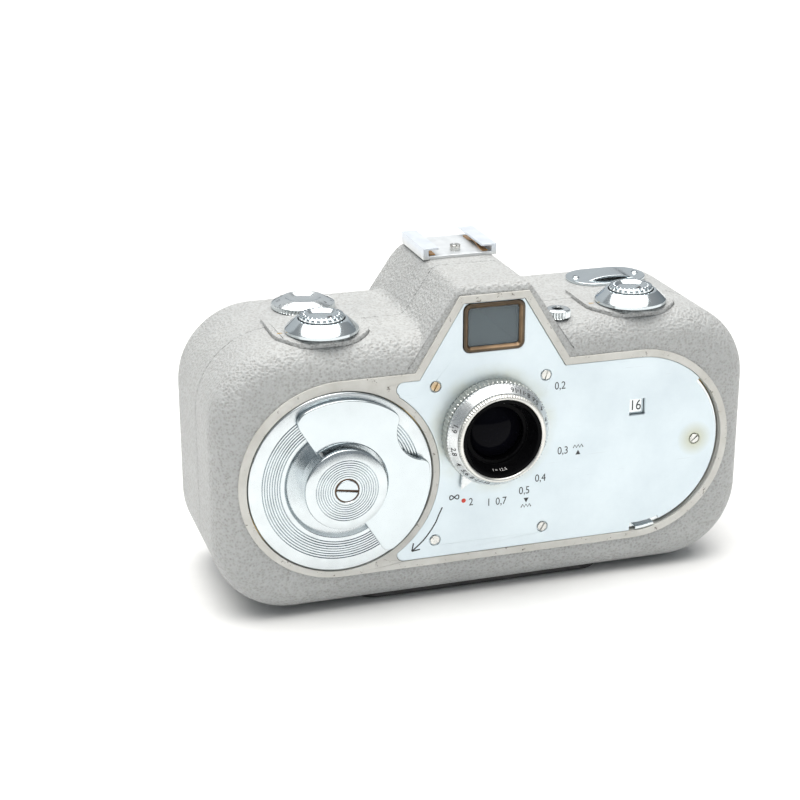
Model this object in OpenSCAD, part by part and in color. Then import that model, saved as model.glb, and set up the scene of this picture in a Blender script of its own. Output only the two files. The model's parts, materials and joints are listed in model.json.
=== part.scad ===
// Horizontal clockwork cine camera for 16 mm wide double-run 8 mm film.
// Frame: X to the right seen from the front, front face towards -Y, +Z up.
// The origin is the centre of the tripod socket's mouth, on the underside of the base plate.
// Depths written as "d" are measured backwards from the front face of the raised front bezel.

/* [Body] */
// Width of the body
body_w = 157; // [154:0.5:160]
// Height of the body without base plate and finder tower
body_h = 76.8; // [75:0.2:79]
// Depth from the bezel's face to the back
body_d = 53; // [52.5:0.1:54]
// Radius of the body's four corners, seen from the front
corner_r = 22; // [20:0.5:24]
// Radius of the rounding between the front and the sides
front_fillet = 7.9; // [6.5:0.1:8.5]
// Radius of the rounding between the back and the sides
rear_fillet = 6; // [5:0.1:6.5]
// Thickness of the cast walls
wall = 2; // [1.8:0.1:2.2]
// Depth of the joint between the front and rear castings
seam_d = 22.6; // [22.2:0.1:22.6]

/* [Front] */
// Radius of the bezel's round ends
lip_r = 28.6; // [28:0.1:29]
// Distance of the round ends' centres from the middle
lip_c = 43.5; // [43:0.1:44]
// Width of the bezel's visible strip
lip_w = 2.2; // [2:0.1:2.4]
// Thickness of the front plate
plate_t = 1; // [0.8:0.1:1]

/* [Finder tower] */
// Height of the tower's roof above the body's middle line
tower_top = 51.6; // [51:0.1:52.5]
// Half width of the roof, measured to its sharp corner
tower_half = 10; // [9.6:0.1:10.4]
// Outward run of the tower's sides for each millimetre down
tower_slope = 0.664; // [0.62:0.01:0.7]
// Height of the finder's optical axis above the middle line
finder_dz = 39.8; // [39.4:0.1:40]

/* [Lens] */
// Height of the lens axis above the body's middle line
lens_dz = 10; // [9.8:0.1:10.2]
// Radius of the knurled focusing ring
focus_r = 15.2; // [15:0.1:15.4]

/* [Winding disc] */
// Radius of the winding disc
disc_r = 26; // [25.6:0.1:26]
// Distance of the winding disc's centre below the middle line
disc_drop = 0.5; // [0:0.1:0.6]

/* [Top controls] */
// Distance of the two release knobs from the middle
knob_x = 45.2; // [44.5:0.1:46]
// Depth of the two release knobs
knob_d = 11.8; // [11.5:0.1:12.2]
// Travel of a release button
button_travel = 1.4; // [1.2:0.1:1.4]

/* [Base] */
// Thickness of the base plate
pad_t = 1.6; // [1.6:0.1:2]
// Radius of the bore left by the quarter-inch tripod thread
tripod_r = 2.6; // [2.55:0.01:2.65]

/* [Hidden] */

$fn = 64;
bush_r = 5;                 // tripod bush
bush_l = 6.4;
eps = 0.05;                 // overrun of a cut past a face
fit = 0.05;                 // radial clearance of a shaft in its bearing
gap = 0.3;                  // clearance between parts that move past each other
axis_z = pad_t + body_h / 2;
top_dz = body_h / 2;
tower_round = 3.2;
tower_front_fillet = 2.4;
root_r = 4;                 // hollow rounding at the foot of the tower

// Trapezoid of the bezel around the finder window
lip_top_dz = 49.1;
lip_top_half = 10;
lip_slope = 0.605;

// Places on the front face, as [x, height above the middle line]
disc_at = [-lip_c, -disc_drop];
dial_at = [lip_c, 0];
lens_at = [0, lens_dz];
finder_at = [0, finder_dz];
plate_screw_at = [[-16.6, 24.2], [15.5, 24.2], [-16.6, -21.3], [15.5, -21.4], [61.8, 0]];
rate_window_at = [43.5, 11.6];

// Gear train: module, tooth counts and the directions from one arbor to the next
gear_m = 0.6;
barrel_teeth = 80;
pinion_teeth = 20;
wheel_teeth = 40;
governor_teeth = 12;
idler_teeth = 48;
takeup_teeth = 48;
function pitch_r(teeth) = gear_m * teeth / 2;
function polar(a, r) = [r * cos(a), r * sin(a)];
wheel_dir = -30;
shutter_dir = 60;
governor_dir = -60;
idler_dir = 12;
takeup_dir = 12;
wheel_at = disc_at + polar(wheel_dir, pitch_r(barrel_teeth) + pitch_r(pinion_teeth));
shutter_at = wheel_at + polar(shutter_dir, pitch_r(wheel_teeth) + pitch_r(pinion_teeth));
governor_at = wheel_at + polar(governor_dir, pitch_r(wheel_teeth) + pitch_r(governor_teeth));
idler_at = wheel_at + polar(idler_dir, pitch_r(wheel_teeth) + pitch_r(idler_teeth));
takeup_at = idler_at + polar(takeup_dir, pitch_r(idler_teeth) + pitch_r(takeup_teeth));
supply_at = [-takeup_at[0], takeup_at[1]];
arbor_r = 1.2;
winding_r = 3;
pawl_off = [0, 13.5];       // click pawl's pivot from the winding arbor

// Depths of the movement's layers
bridge_d = [3.2, 4.4];
chassis_d = [22.6, 24.6];
wheel_d = [17.8, 20.3];
shutter_d = [20.7, 21.1];
claw_d = [21.5, 22.2];
gate_d = [24.8, 26];

// Top controls: each on a tongue of the rear casting that lies over the front casting
tongue_half = 13.2;
tongue_front_d = 4.2;
tongue_rise = 1;
tongue_t = 3.2;
tongue_top = top_dz + tongue_rise;
collar_r = 10.05;
crown_r = 6.2;
counter_at = [-43.8, 37.3];
socket_at = [21.5, 7.7];
lug_at = [49.2, 38.8];
lug_rivet_x = 9.4;

// Back door and its hinge
door_size = [132, 60];
door_dz = -2;
door_corner = 12;
hinge_at = [-66.3, 54.9];
latch_at = [54, -2];
latch_reach = 10.5;

// Winding handle: half a ring that folds up about two pins in the sides of the hub
handle_in = 12.4;
handle_out = 24.6;
handle_d = [-2.7, -1];
handle_a = -58.5;           // direction of the line through both pins
handle_edge = 1.1;          // the plate's straight edge lies this far past the pins' line
handle_pin_d = -1.9;
handle_pin_r = 0.45;

// Film channel: the picture is beside the perforated edge, so the channel is off the lens axis
gate_x = 2.65;
claw_x = 4.8;               // of the claw's tip, from the shutter's arbor
claw_drop = 6.25;
guide_at = [9.5, 15];       // guide pins of the pressure plate, from gate_x and in height
prongs = 3;                 // of the spool spindles

function Y(d) = d - body_d / 2;

// A flat outline in [x, height] extruded from depth d0 back to depth d1
module slab(d0, d1) {
    translate([0, Y(d1), axis_z])
        rotate([90, 0, 0])
            linear_extrude(d1 - d0)
                children();
}

// A cylinder or cone along the depth, r at the back and r_front at the front
module rod(at, d0, d1, r, r_front = -1) {
    translate([at[0], Y(d1), axis_z + at[1]])
        rotate([90, 0, 0])
            cylinder(h = d1 - d0, r1 = r, r2 = r_front < 0 ? r : r_front);
}

// An upright cylinder or cone, from height z0 to z1 above the middle line
module post(x, d, z0, z1, r, r_top = -1) {
    translate([x, Y(d), axis_z + z0])
        cylinder(h = z1 - z0, r1 = r, r2 = r_top < 0 ? r : r_top);
}

// A block given by its x, depth and height limits
module block(x, d, z) {
    translate([x[0], Y(d[0]), axis_z + z[0]])
        cube([x[1] - x[0], d[1] - d[0], z[1] - z[0]]);
}

module round_rect(w, h, r) {
    square([w - 2 * r, h], center = true);
    square([w, h - 2 * r], center = true);
    for (sx = [-1, 1], sy = [-1, 1])
        translate([sx * (w / 2 - r), sy * (h / 2 - r)])
            circle(r);
}

module stadium(c, r) {
    square([2 * c, 2 * r], center = true);
    for (s = [-1, 1])
        translate([s * c, 0])
            circle(r);
}

// A wedge from angle a0 to a1 that covers radii up to r
module wedge(r, a0, a1) {
    steps = ceil((a1 - a0) / 30);
    polygon(concat([[0, 0]], [for (i = [0:steps]) polar(a0 + (a1 - a0) * i / steps, r * 1.1)]));
}

module ring_sector(r0, r1, a0, a1) {
    intersection() {
        difference() {
            circle(r1);
            circle(r0);
        }
        wedge(r1, a0, a1);
    }
}

// Half section of a rounded block, drawn as [outward, depth], with its front and rear edges rounded
module edge_section(out, d0, d1, front_r, rear_r) {
    translate([0, d0 + front_r])
        square([out, d1 - d0 - front_r - rear_r]);
    if (front_r > 0) {
        translate([0, d0])
            square([out - front_r, front_r + eps]);
        translate([out - front_r, d0 + front_r])
            circle(front_r);
    }
    if (rear_r > 0) {
        translate([0, d1 - rear_r - eps])
            square([out - rear_r, rear_r + eps]);
        translate([out - rear_r, d1 - rear_r])
            circle(rear_r);
    }
}

// The body's rounded block between two depths, shrunk by "shrink": four corners, four sides, a core
module body_form(d0, d1, front_r, rear_r, shrink) {
    cx = body_w / 2 - corner_r;
    cz = top_dz - corner_r;
    out = corner_r - shrink;
    translate([0, Y(0), axis_z])
        rotate([-90, 0, 0]) {
            for (i = [0:3])
                translate([(i == 0 || i == 3 ? 1 : -1) * cx, (i < 2 ? 1 : -1) * cz, 0])
                    rotate(i * 90)
                        rotate_extrude(angle = 90)
                            edge_section(out, d0, d1, front_r, rear_r);
            for (i = [0:3]) {
                reach = i % 2 == 0 ? cx : cz;
                run = i % 2 == 0 ? cz : cx;
                rotate(i * 90)
                    translate([reach, run, 0])
                        rotate([90, 0, 0])
                            linear_extrude(2 * run)
                                edge_section(out, d0, d1, front_r, rear_r);
            }
            translate([-cx, -cz, d0])
                cube([2 * cx, 2 * cz, d1 - d0]);
        }
}

// The tower's cross-section, whose sides run on down inside the body
module tower_outline(shrink) {
    side = sqrt(1 + tower_slope * tower_slope);
    r = tower_round - shrink;
    x = tower_half + tower_slope * tower_round - tower_round * side;
    z = tower_top - tower_round;
    foot_dz = top_dz - 10;
    foot_x = tower_half + tower_slope * (tower_top - foot_dz) - shrink * side;
    polygon([[-foot_x, foot_dz], [foot_x, foot_dz], [x + r / side, z + r * tower_slope / side],
        [x, z + r], [-x, z + r], [-x - r / side, z + r * tower_slope / side]]);
    for (s = [-1, 1])
        translate([s * x, z])
            circle(r);
}

// The tower between two depths, with the roof's front and rear edges rounded
module tower_form(d0, d1, front_r, rear_r, shrink) {
    intersection() {
        slab(d0, d1)
            tower_outline(shrink);
        translate([-40, Y(0), axis_z])
            rotate([0, -90, 180])
                linear_extrude(80)
                    mirror([0, 1])
                        edge_section(tower_top - shrink, d0, d1, front_r, rear_r);
    }
}

// The hollow roundings where the tower's sides run out into the body's flat top
module tower_roots(d0, d1) {
    side = sqrt(1 + tower_slope * tower_slope);
    z = top_dz + root_r;
    x = tower_half + tower_slope * (tower_top - z) + root_r * side;
    slab(d0, d1)
        for (s = [0, 1])
            mirror([s, 0])
                difference() {
                    polygon([[x - root_r / side, z - root_r * tower_slope / side],
                        [x - root_r / side - 1.2, z - root_r * tower_slope / side],
                        [x - root_r / side - 1.2, top_dz - 1], [x, top_dz - 1], [x, top_dz]]);
                    translate([x, z])
                        circle(root_r);
                }
}

// Outline of the bezel: a stadium with a trapezoid around the finder on top
module face_outline(inset) {
    side = inset * sqrt(1 + lip_slope * lip_slope);
    top = lip_top_dz - inset;
    half_top = lip_top_half - side + lip_slope * inset;
    half_mid = lip_top_half - side + lip_slope * lip_top_dz;
    stadium(lip_c, lip_r - inset);
    polygon([[-half_mid, 0], [half_mid, 0], [half_top, top], [-half_top, top]]);
}

// Outline of the front plate: right of the winding disc, with its two rounded cusps
module plate_outline(grow) {
    arc_r = 28.2;
    cusp_r = 2;
    edge = lip_r - lip_w;
    rise = edge - cusp_r;
    run = sqrt(pow(arc_r + cusp_r, 2) - pow(rise, 2));
    cusp_x = disc_at[0] + run;
    touch = arc_r / (arc_r + cusp_r);
    difference() {
        union() {
            intersection() {
                face_outline(lip_w - grow);
                polygon([[cusp_x, 60], [cusp_x, rise],
                    [disc_at[0] + run * touch, rise * touch], [disc_at[0], 0],
                    [disc_at[0] + run * touch, -rise * touch], [cusp_x, -rise],
                    [cusp_x, -60], [80, -60], [80, 60]]);
            }
            for (s = [-1, 1])
                translate([cusp_x, s * rise])
                    circle(cusp_r + grow);
        }
        translate(disc_at)
            circle(arc_r - grow);
    }
}

// D-shaped outline of a top tongue, drawn in plan as [x, depth]
module tongue_plan(x, grow) {
    nose_r = 9;
    half = tongue_half + grow;
    r = nose_r + grow;
    translate([x, 0]) {
        for (s = [-1, 1])
            translate([s * (tongue_half - nose_r), tongue_front_d + nose_r])
                circle(r);
        translate([-(tongue_half - nose_r), tongue_front_d - grow])
            square([2 * (tongue_half - nose_r), r]);
        translate([-half, tongue_front_d + nose_r])
            square([2 * half, seam_d + 5.4 - tongue_front_d - nose_r]);
    }
}

module tongue_prism(x, grow, z0, z1) {
    translate([0, Y(0), axis_z + z0])
        linear_extrude(z1 - z0)
            tongue_plan(x, grow);
}

// A spur gear with straight-flanked teeth; one tooth points along "phase"
module gear(teeth, phase) {
    tip_r = pitch_r(teeth) + 0.42;
    root_r = pitch_r(teeth) - 0.75;
    step = 360 / teeth;
    circle(root_r, $fn = 96);
    for (i = [0:teeth - 1])
        rotate(phase + i * step)
            polygon([[root_r - 0.3, -0.6], [tip_r, -0.17], [tip_r, 0.17], [root_r - 0.3, 0.6]]);
}

// A radial set of knurl grooves for a ring of radius r
module knurl(r, count, size) {
    for (i = [0:count - 1])
        rotate(i * 360 / count)
            translate([r, 0])
                rotate(45)
                    square(size, center = true);
}

// A cheese-head screw seen from the front: head, slot and shank
module face_screw(at, d0, head_r, head_t, shank_r, shank_l, slot_a) {
    difference() {
        rod(at, d0, d0 + head_t, head_r);
        translate([at[0], Y(d0), axis_z + at[1]])
            rotate([0, -slot_a, 0])
                cube([head_r * 3, head_t, head_r * 0.3], center = true);
    }
    rod(at, d0 + head_t - eps, d0 + head_t + shank_l, shank_r);
}

// ---------------------------------------------------------------- casings

// Eight-sided clearance through the floor of a shell for the tripod bush
module bush_window() {
    cylinder(h = 5, r = (bush_r + 0.15) / cos(22.5), $fn = 8);
}

module front_shell() {
    color([0.68, 0.67, 0.65])
    difference() {
        union() {
            body_form(0.5, seam_d, front_fillet, 0, 0);
            tower_form(0.5, seam_d, tower_front_fillet, 0, 0);
            tower_roots(front_fillet + 0.5, seam_d);
        }
        body_form(0.5 + wall, seam_d + 1, front_fillet - wall, 0, wall);
        tower_form(0.5 + wall, seam_d + 1, 0, 0, wall);
        slab(-1, wall + 1)
            face_outline(1);
        bush_window();
        for (s = [-1, 1])
            tongue_prism(s * knob_x, 0.15, top_dz - wall - 1.6, top_dz + 3);
        block([socket_at[0] - 2.25, socket_at[0] + 2.25], [socket_at[1] - 2.25, socket_at[1] + 2.25],
            [top_dz - 5, top_dz + 1]);
        translate([socket_at[0], Y(socket_at[1]), axis_z + top_dz])
            cylinder(h = 6, r = 3.85, $fn = 12);
    }
}

module rear_shell() {
    rear_d0 = seam_d + 0.3;
    color([0.67, 0.66, 0.64])
    difference() {
        union() {
            difference() {
                union() {
                    body_form(rear_d0, body_d, 0, rear_fillet, 0);
                    tower_form(rear_d0, body_d, 0, rear_fillet, 0);
                    tower_roots(rear_d0, body_d - rear_fillet);
                }
                body_form(rear_d0 - 1, body_d - 3.5, 0, rear_fillet - wall, wall);
                tower_form(rear_d0 - 1, body_d - wall, 0, 0, wall);
            }
            intersection() {
                for (s = [-1, 1])
                    tongue_prism(s * knob_x, 0, tongue_top - tongue_t, tongue_top + 1);
                body_form(0.5 - tongue_rise, body_d, front_fillet + tongue_rise, 0, -tongue_rise);
            }
            for (s = [-1, 1])
                post(s * knob_x, knob_d, tongue_top - eps, tongue_top + 1.1, 3.2);
            for (z = [-24, -2, 20])
                hinge_knuckle(z + door_dz, -1);
        }
        slab(body_d - 2.2, body_d + eps)
            translate([0, door_dz])
                round_rect(door_size[0], door_size[1], door_corner);
        slab(body_d - 5, body_d)
            translate([0, door_dz])
                round_rect(door_size[0] - 6, door_size[1] - 6, door_corner - 3);
        bush_window();
        for (s = [-1, 1])
            post(s * knob_x, knob_d, top_dz - 4, tongue_top + 3, 2.5 + fit);
        post(counter_at[0], counter_at[1], top_dz - 4, top_dz + 1, 1.5 + fit);
        rod(finder_at, body_d - 8, body_d + 1, 5.5);
        translate([hinge_at[0], Y(hinge_at[1]), axis_z - 40])
            cylinder(h = 80, r = 0.8 + fit);
    }
}

// A hinge knuckle with its strap and root; side -1 joins the casting, +1 joins the door
module hinge_knuckle(dz, side) {
    half = 5;
    z = [dz - half, dz + half];
    translate([hinge_at[0], Y(hinge_at[1]), axis_z + dz - half])
        cylinder(h = 2 * half, r = 1.6);
    if (side < 0) {
        block([hinge_at[0] - 4.5, hinge_at[0]], [body_d + 0.3, hinge_at[1] + 0.9], z);
        block([hinge_at[0] - 4.5, hinge_at[0] - 1.2], [body_d - 0.5, body_d + 0.4], z);
    } else {
        block([hinge_at[0], hinge_at[0] + 6], [body_d + 0.3, hinge_at[1] + 0.9], z);
        block([hinge_at[0] + 1.8, hinge_at[0] + 6], [body_d - 0.5, body_d + 0.4], z);
    }
}

module front_bezel() {
    color([0.8, 0.79, 0.74])
    difference() {
        union() {
            slab(0, 0.5)
                face_outline(0);
            slab(0.45, 2.6)
                face_outline(1.1);
        }
        slab(-1, 1.45)
            plate_outline(0.12);
        slab(1, 3) {
            difference() {
                face_outline(lip_w + 2.2);
                translate(disc_at)
                    circle(disc_r + gap + 2.5);
            }
            translate(dial_at)
                circle(lip_r - lip_w);
            translate(finder_at)
                round_rect(18.1, 14.3, 2);
            for (p = plate_screw_at)
                translate(p)
                    circle(2.2);
        }
        slab(-1, 3)
            translate(disc_at)
                circle(disc_r + gap);
    }
}

module front_plate() {
    d0 = 0.25;
    step_r = 25;
    color([0.86, 0.89, 0.9])
    difference() {
        slab(d0, d0 + plate_t)
            difference() {
                plate_outline(0);
                translate(dial_at) {
                    ring_sector(step_r, lip_r, -72, 44);
                    ring_sector(24, lip_r, -92, -71);
                }
                translate(lens_at)
                    circle(13.6);
                translate(finder_at)
                    round_rect(17.8, 14, 2.1);
                translate(rate_window_at)
                    square(4.9, center = true);
                for (p = plate_screw_at)
                    translate(p)
                        circle(0.95);
            }
        for (p = plate_screw_at)
            rod(p, d0 - eps, d0 + 0.6, 1.65);
    }
}

module plate_screws() {
    slots = [65, 75, -60, 60, 40];
    color([0.75, 0.72, 0.62])
    for (i = [0:len(plate_screw_at) - 1])
        face_screw(plate_screw_at[i], 0.15, 1.35, 0.65, 0.75, 2.8, slots[i]);
}

module base_plate() {
    color([0.42, 0.42, 0.42])
    difference() {
        linear_extrude(pad_t)
            round_rect(74, 39, 6);
        translate([0, 0, -eps])
            cylinder(h = 1.2, r = 6.3);
        translate([0, 0, -eps])
            cylinder(h = pad_t + 1, r = bush_r + 0.1);
        for (s = [-1, 1])
            translate([s * 28, 0, 0]) {
                translate([0, 0, -eps])
                    cylinder(h = pad_t + 1, r = 1.2);
                translate([0, 0, -eps])
                    cylinder(h = 1, r = 2.3);
            }
    }
}

module base_screws() {
    color([0.75, 0.75, 0.73])
    for (s = [-1, 1])
        translate([s * 28, 0, 0])
            difference() {
                union() {
                    translate([0, 0, 0.1])
                        cylinder(h = 0.8, r = 2.1);
                    cylinder(h = pad_t - 0.1, r = 1.1);
                }
                translate([0, 0, -0.4])
                    cube([6, 0.7, 1.6], center = true);
            }
}

module tripod_bush() {
    color([0.72, 0.66, 0.5])
    difference() {
        union() {
            cylinder(h = 1.05, r = 6.2);
            cylinder(h = bush_l, r = bush_r);
        }
        translate([0, 0, -eps])
            cylinder(h = bush_l + 1, r = tripod_r);
    }
}

module back_door() {
    color([0.66, 0.65, 0.63])
    difference() {
        union() {
            slab(body_d - 2.05, body_d)
                translate([0, door_dz])
                    round_rect(door_size[0] - 0.8, door_size[1] - 0.8, door_corner - 0.4);
            slab(body_d - 4, body_d - 2)
                translate([0, door_dz])
                    difference() {
                        round_rect(door_size[0] - 6.8, door_size[1] - 6.8, door_corner - 3.4);
                        round_rect(door_size[0] - 11, door_size[1] - 11, door_corner - 5.5);
                    }
            for (z = [-13, 9])
                hinge_knuckle(z + door_dz, 1);
        }
        rod(latch_at, body_d - 5, body_d + 1, 2 + fit);
        translate([hinge_at[0], Y(hinge_at[1]), axis_z - 40])
            cylinder(h = 80, r = 0.8 + fit);
    }
}

module door_hinge_pin() {
    color([0.7, 0.7, 0.7])
    translate([hinge_at[0], Y(hinge_at[1]), axis_z + door_dz - 29.5])
        cylinder(h = 55, r = 0.8);
}

module door_latch() {
    color([0.82, 0.82, 0.83])
    union() {
        rod(latch_at, body_d - 4.4, body_d + 0.5, 2);
        rod(latch_at, body_d + 0.3, body_d + 1.3, 7);
        block([latch_at[0] - 0.9, latch_at[0] + 0.9], [body_d + 1.2, body_d + 3.6],
            [latch_at[1] - 6, latch_at[1] + 6]);
        block([latch_at[0] - 2, latch_at[0] + 2], [body_d - 5.4, body_d - 4.3],
            [latch_at[1] - 2, latch_at[1] + latch_reach]);
    }
}

// ---------------------------------------------------------------- winding

module winding_disc() {
    color([0.85, 0.86, 0.87])
    translate([disc_at[0], Y(0), axis_z + disc_at[1]])
        rotate([90, 0, 0])
            rotate_extrude($fn = 96)
                polygon(concat([[winding_r, -2.6], [disc_r, -2.6], [disc_r, -0.4],
                    [disc_r - 0.4, 0], [22.5, 0.2]],
                    [for (i = [0:7]) let (r = 22.2 - i * 0.7) each [[r, -0.1], [r - 0.3, 0.2]]],
                    [[16.1, 0.2], [15.2, -0.7], [11.5, -0.9], [winding_r, -0.9]]));
}

module winding_hub() {
    color([0.86, 0.87, 0.88])
    translate([disc_at[0], Y(0), axis_z + disc_at[1]])
        rotate([90, 0, 0])
            difference() {
                rotate_extrude($fn = 96)
                    polygon(concat([[winding_r, -0.85], [11.1, -0.85], [11.6, 4.6], [11.2, 5.4],
                        [8.9, 5.85]],
                        [for (i = [0:7]) let (r = 8.7 - i * 0.64)
                            each [[r, 5.6], [r - 0.3, 5.85]]],
                        [[3.5, 5.85], [3.35, 4.4], [winding_r, 4.4]]));
                handle_pin_pair(handle_pin_r + 0.01);
            }
}

// The handle's two pins, drawn about the disc's centre with the disc's face as z = 0
module handle_pin_pair(r) {
    for (s = [0, 180])
        rotate(handle_a + s)
            translate([8.6, 0, -handle_pin_d])
                rotate([0, 90, 0])
                    cylinder(h = 7.6, r = r);
}

module hub_screw() {
    color([0.88, 0.88, 0.88])
    difference() {
        rod(disc_at, -6, -4.45, 3.05);
        translate([disc_at[0], Y(-6), axis_z + disc_at[1]])
            rotate([0, 9, 0])
                cube([8, 1.3, 0.58], center = true);
    }
}

module winding_handle() {
    color([0.88, 0.9, 0.91])
    translate([disc_at[0], Y(0), axis_z + disc_at[1]])
        rotate([90, 0, 0])
            difference() {
                translate([0, 0, -handle_d[1]])
                    linear_extrude(handle_d[1] - handle_d[0])
                        difference() {
                            circle(handle_out, $fn = 96);
                            circle(handle_in);
                            translate(polar(30, 27.4))
                                circle(8.6);
                            rotate(handle_a)
                                translate([-30, -30 - handle_edge])
                                    square([60, 30]);
                        }
                handle_pin_pair(handle_pin_r + fit);
            }
}

module handle_pins() {
    color([0.6, 0.6, 0.6])
    translate([disc_at[0], Y(0), axis_z + disc_at[1]])
        rotate([90, 0, 0])
            handle_pin_pair(handle_pin_r);
}

module winding_arbor() {
    ratchet_teeth = 16;
    color([0.7, 0.7, 0.68])
    union() {
        rod(disc_at, -4.4, chassis_d[0] + 1, winding_r);
        slab(4.7, 5.3)
            translate(disc_at)
                for (i = [0:ratchet_teeth - 1])
                    rotate(i * 360 / ratchet_teeth)
                        polygon([[0, 0], [8.4, 0], [6.6, 3.1]]);
    }
}

module click_pawl() {
    at = disc_at + pawl_off;
    color([0.65, 0.6, 0.5])
    difference() {
        slab(4.7, 5.3)
            polygon([at + [-2, 2], at + [2.4, 2], at + [2.4, -2], at + [0.6, -4.6],
                at + [-0.8, -4.2]]);
        rod(at, 4, 6, 1);
    }
}

module spring_barrel() {
    drum_r = 21;
    skin = 1.1;
    color([0.8, 0.7, 0.45])
    difference() {
        union() {
            slab(5.7, 7.5)
                translate(disc_at)
                    gear(barrel_teeth, wheel_dir);
            rod(disc_at, 7.4, 17.3, drum_r);
        }
        rod(disc_at, 7.5, 16.3, drum_r - skin);
        rod(disc_at, 5, 18, winding_r + fit);
    }
}

module mainspring() {
    turns = 8;
    per_turn = 24;
    r0 = 4.2;
    r1 = 19.4;
    t = 0.45;
    n = turns * per_turn;
    function r_at(i) = r0 + (r1 - r0) * i / n;
    color([0.35, 0.38, 0.45])
    slab(8, 15.8)
        translate(disc_at)
            polygon(concat([for (i = [0:n]) polar(i * 360 / per_turn, r_at(i))],
                [for (i = [n:-1:0]) polar(i * 360 / per_turn, r_at(i) + t)]));
}

// ---------------------------------------------------------------- gear train

module intermediate_gear() {
    color([0.82, 0.72, 0.45])
    union() {
        rod(wheel_at, bridge_d[0] + 0.1, chassis_d[0] + 1, arbor_r);
        slab(5.5, 7.7)
            translate(wheel_at)
                gear(pinion_teeth, wheel_dir + 180 + 180 / pinion_teeth);
        slab(wheel_d[0], wheel_d[1])
            translate(wheel_at)
                gear(wheel_teeth, shutter_dir);
    }
}

module idler_gear() {
    // the wheel before it turns this gear's gap towards the nearest wheel tooth
    lag = (idler_dir - shutter_dir) * wheel_teeth / idler_teeth;
    color([0.82, 0.72, 0.45])
    union() {
        rod(idler_at, bridge_d[0] + 0.1, chassis_d[0] + 1, arbor_r);
        slab(wheel_d[0] + 1.4, wheel_d[1])
            translate(idler_at)
                gear(idler_teeth, idler_dir + 180 + 180 / idler_teeth + lag);
    }
}

module takeup_gear() {
    lag = (idler_dir - shutter_dir) * wheel_teeth / idler_teeth;
    color([0.78, 0.7, 0.5])
    union() {
        slab(wheel_d[0] + 1.4, wheel_d[1])
            translate(takeup_at)
                gear(takeup_teeth, takeup_dir + 180 - lag - 180 / idler_teeth + 180 / takeup_teeth);
        rod(takeup_at, wheel_d[0], 27.2, 2.2);
        spindle_head(takeup_at);
    }
}

// The pronged part of a spindle that drives a film spool
module spindle_head(at) {
    rod(at, 27.1, 44, 3.4);
    slab(28, 43)
        translate(at)
            for (i = [0:prongs - 1])
                rotate(i * 360 / prongs)
                    translate([0, -0.5])
                        square([4.4, 1]);
}

module takeup_spool() {
    flange_r = 25.4;
    color([0.2, 0.2, 0.21])
    difference() {
        union() {
            rod(takeup_at, 27.4, 28.2, flange_r);
            rod(takeup_at, 28.1, 45.3, 8);
            rod(takeup_at, 45.2, 46, flange_r);
        }
        rod(takeup_at, 27, 47, 3.7);
        slab(27, 47)
            translate(takeup_at) {
                for (i = [0:prongs - 1])
                    rotate(i * 360 / prongs) {
                        translate([0, -0.8])
                            square([4.8, 1.6]);
                        rotate(60)
                            translate([16.5, 0])
                                circle(4.5);
                    }
            }
    }
}

module supply_spindle() {
    color([0.75, 0.75, 0.72])
    union() {
        rod(supply_at, chassis_d[0] + 0.2, 27.2, 2.2);
        spindle_head(supply_at);
    }
}

module shutter_disc() {
    blade_r = 16;
    color([0.1, 0.1, 0.1])
    slab(shutter_d[0], shutter_d[1])
        translate(shutter_at)
            difference() {
                union() {
                    circle(4);
                    ring_sector(0.5, blade_r, 130, 300);
                }
                circle(arbor_r + 0.02);
            }
}

module shutter_arbor() {
    color([0.75, 0.7, 0.55])
    union() {
        rod(shutter_at, 17.1, chassis_d[0] + 1, arbor_r);
        slab(wheel_d[0], wheel_d[0] + 1.1)
            translate(shutter_at)
                gear(pinion_teeth, shutter_dir + 180 + 180 / pinion_teeth);
        rod(shutter_at + [0.4, 0], claw_d[0] - 0.1, claw_d[1] + 0.1, 2);
    }
}

module governor() {
    lag = (governor_dir - shutter_dir) * wheel_teeth / governor_teeth;
    color([0.8, 0.7, 0.42])
    union() {
        rod(governor_at, bridge_d[0] + 0.1, chassis_d[0] + 1, 1);
        slab(wheel_d[0], wheel_d[1])
            translate(governor_at)
                gear(governor_teeth, governor_dir + 180 + 180 / governor_teeth + lag);
        rod(governor_at, 10, 11.2, 3.4);
        for (s = [-1, 1])
            rod(governor_at + [s * 2.3, 0], 7, 10.1, 1.05);
    }
}

module claw() {
    color([0.7, 0.7, 0.7])
    union() {
        difference() {
            slab(claw_d[0], claw_d[1])
                translate(shutter_at)
                    union() {
                        square([9.6, 13.6], center = true);
                        translate([claw_x - 2, -19])
                            square([2.4, 14]);
                    }
            slab(claw_d[0] - 1, claw_d[1] + 1)
                translate(shutter_at)
                    square([5.8, 9.4], center = true);
        }
        block([shutter_at[0] + claw_x - 0.4, shutter_at[0] + claw_x + 0.4],
            [claw_d[0], gate_d[1] + 0.2],
            [shutter_at[1] - claw_drop - 0.35, shutter_at[1] - claw_drop + 0.35]);
    }
}

// ---------------------------------------------------------------- film gate

module film_gate() {
    centre = [gate_x, lens_dz - 4];
    color([0.3, 0.3, 0.3])
    difference() {
        slab(gate_d[0], gate_d[1])
            translate(centre)
                round_rect(22, 38, 2);
        slab(gate_d[0] - 1, gate_d[1] + 1) {
            translate(lens_at)
                square([4.9, 3.6], center = true);
            translate(shutter_at + [claw_x, -claw_drop])
                square([2.2, 6.4], center = true);
        }
        slab(gate_d[1] - 0.4, gate_d[1] + 1)
            translate(centre)
                square([16.2, 40], center = true);
        for (s = [-1, 1])
            rod([gate_x + s * guide_at[0], guide_at[1]], gate_d[0] - 1, gate_d[1] + 1, 0.9);
    }
}

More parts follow.
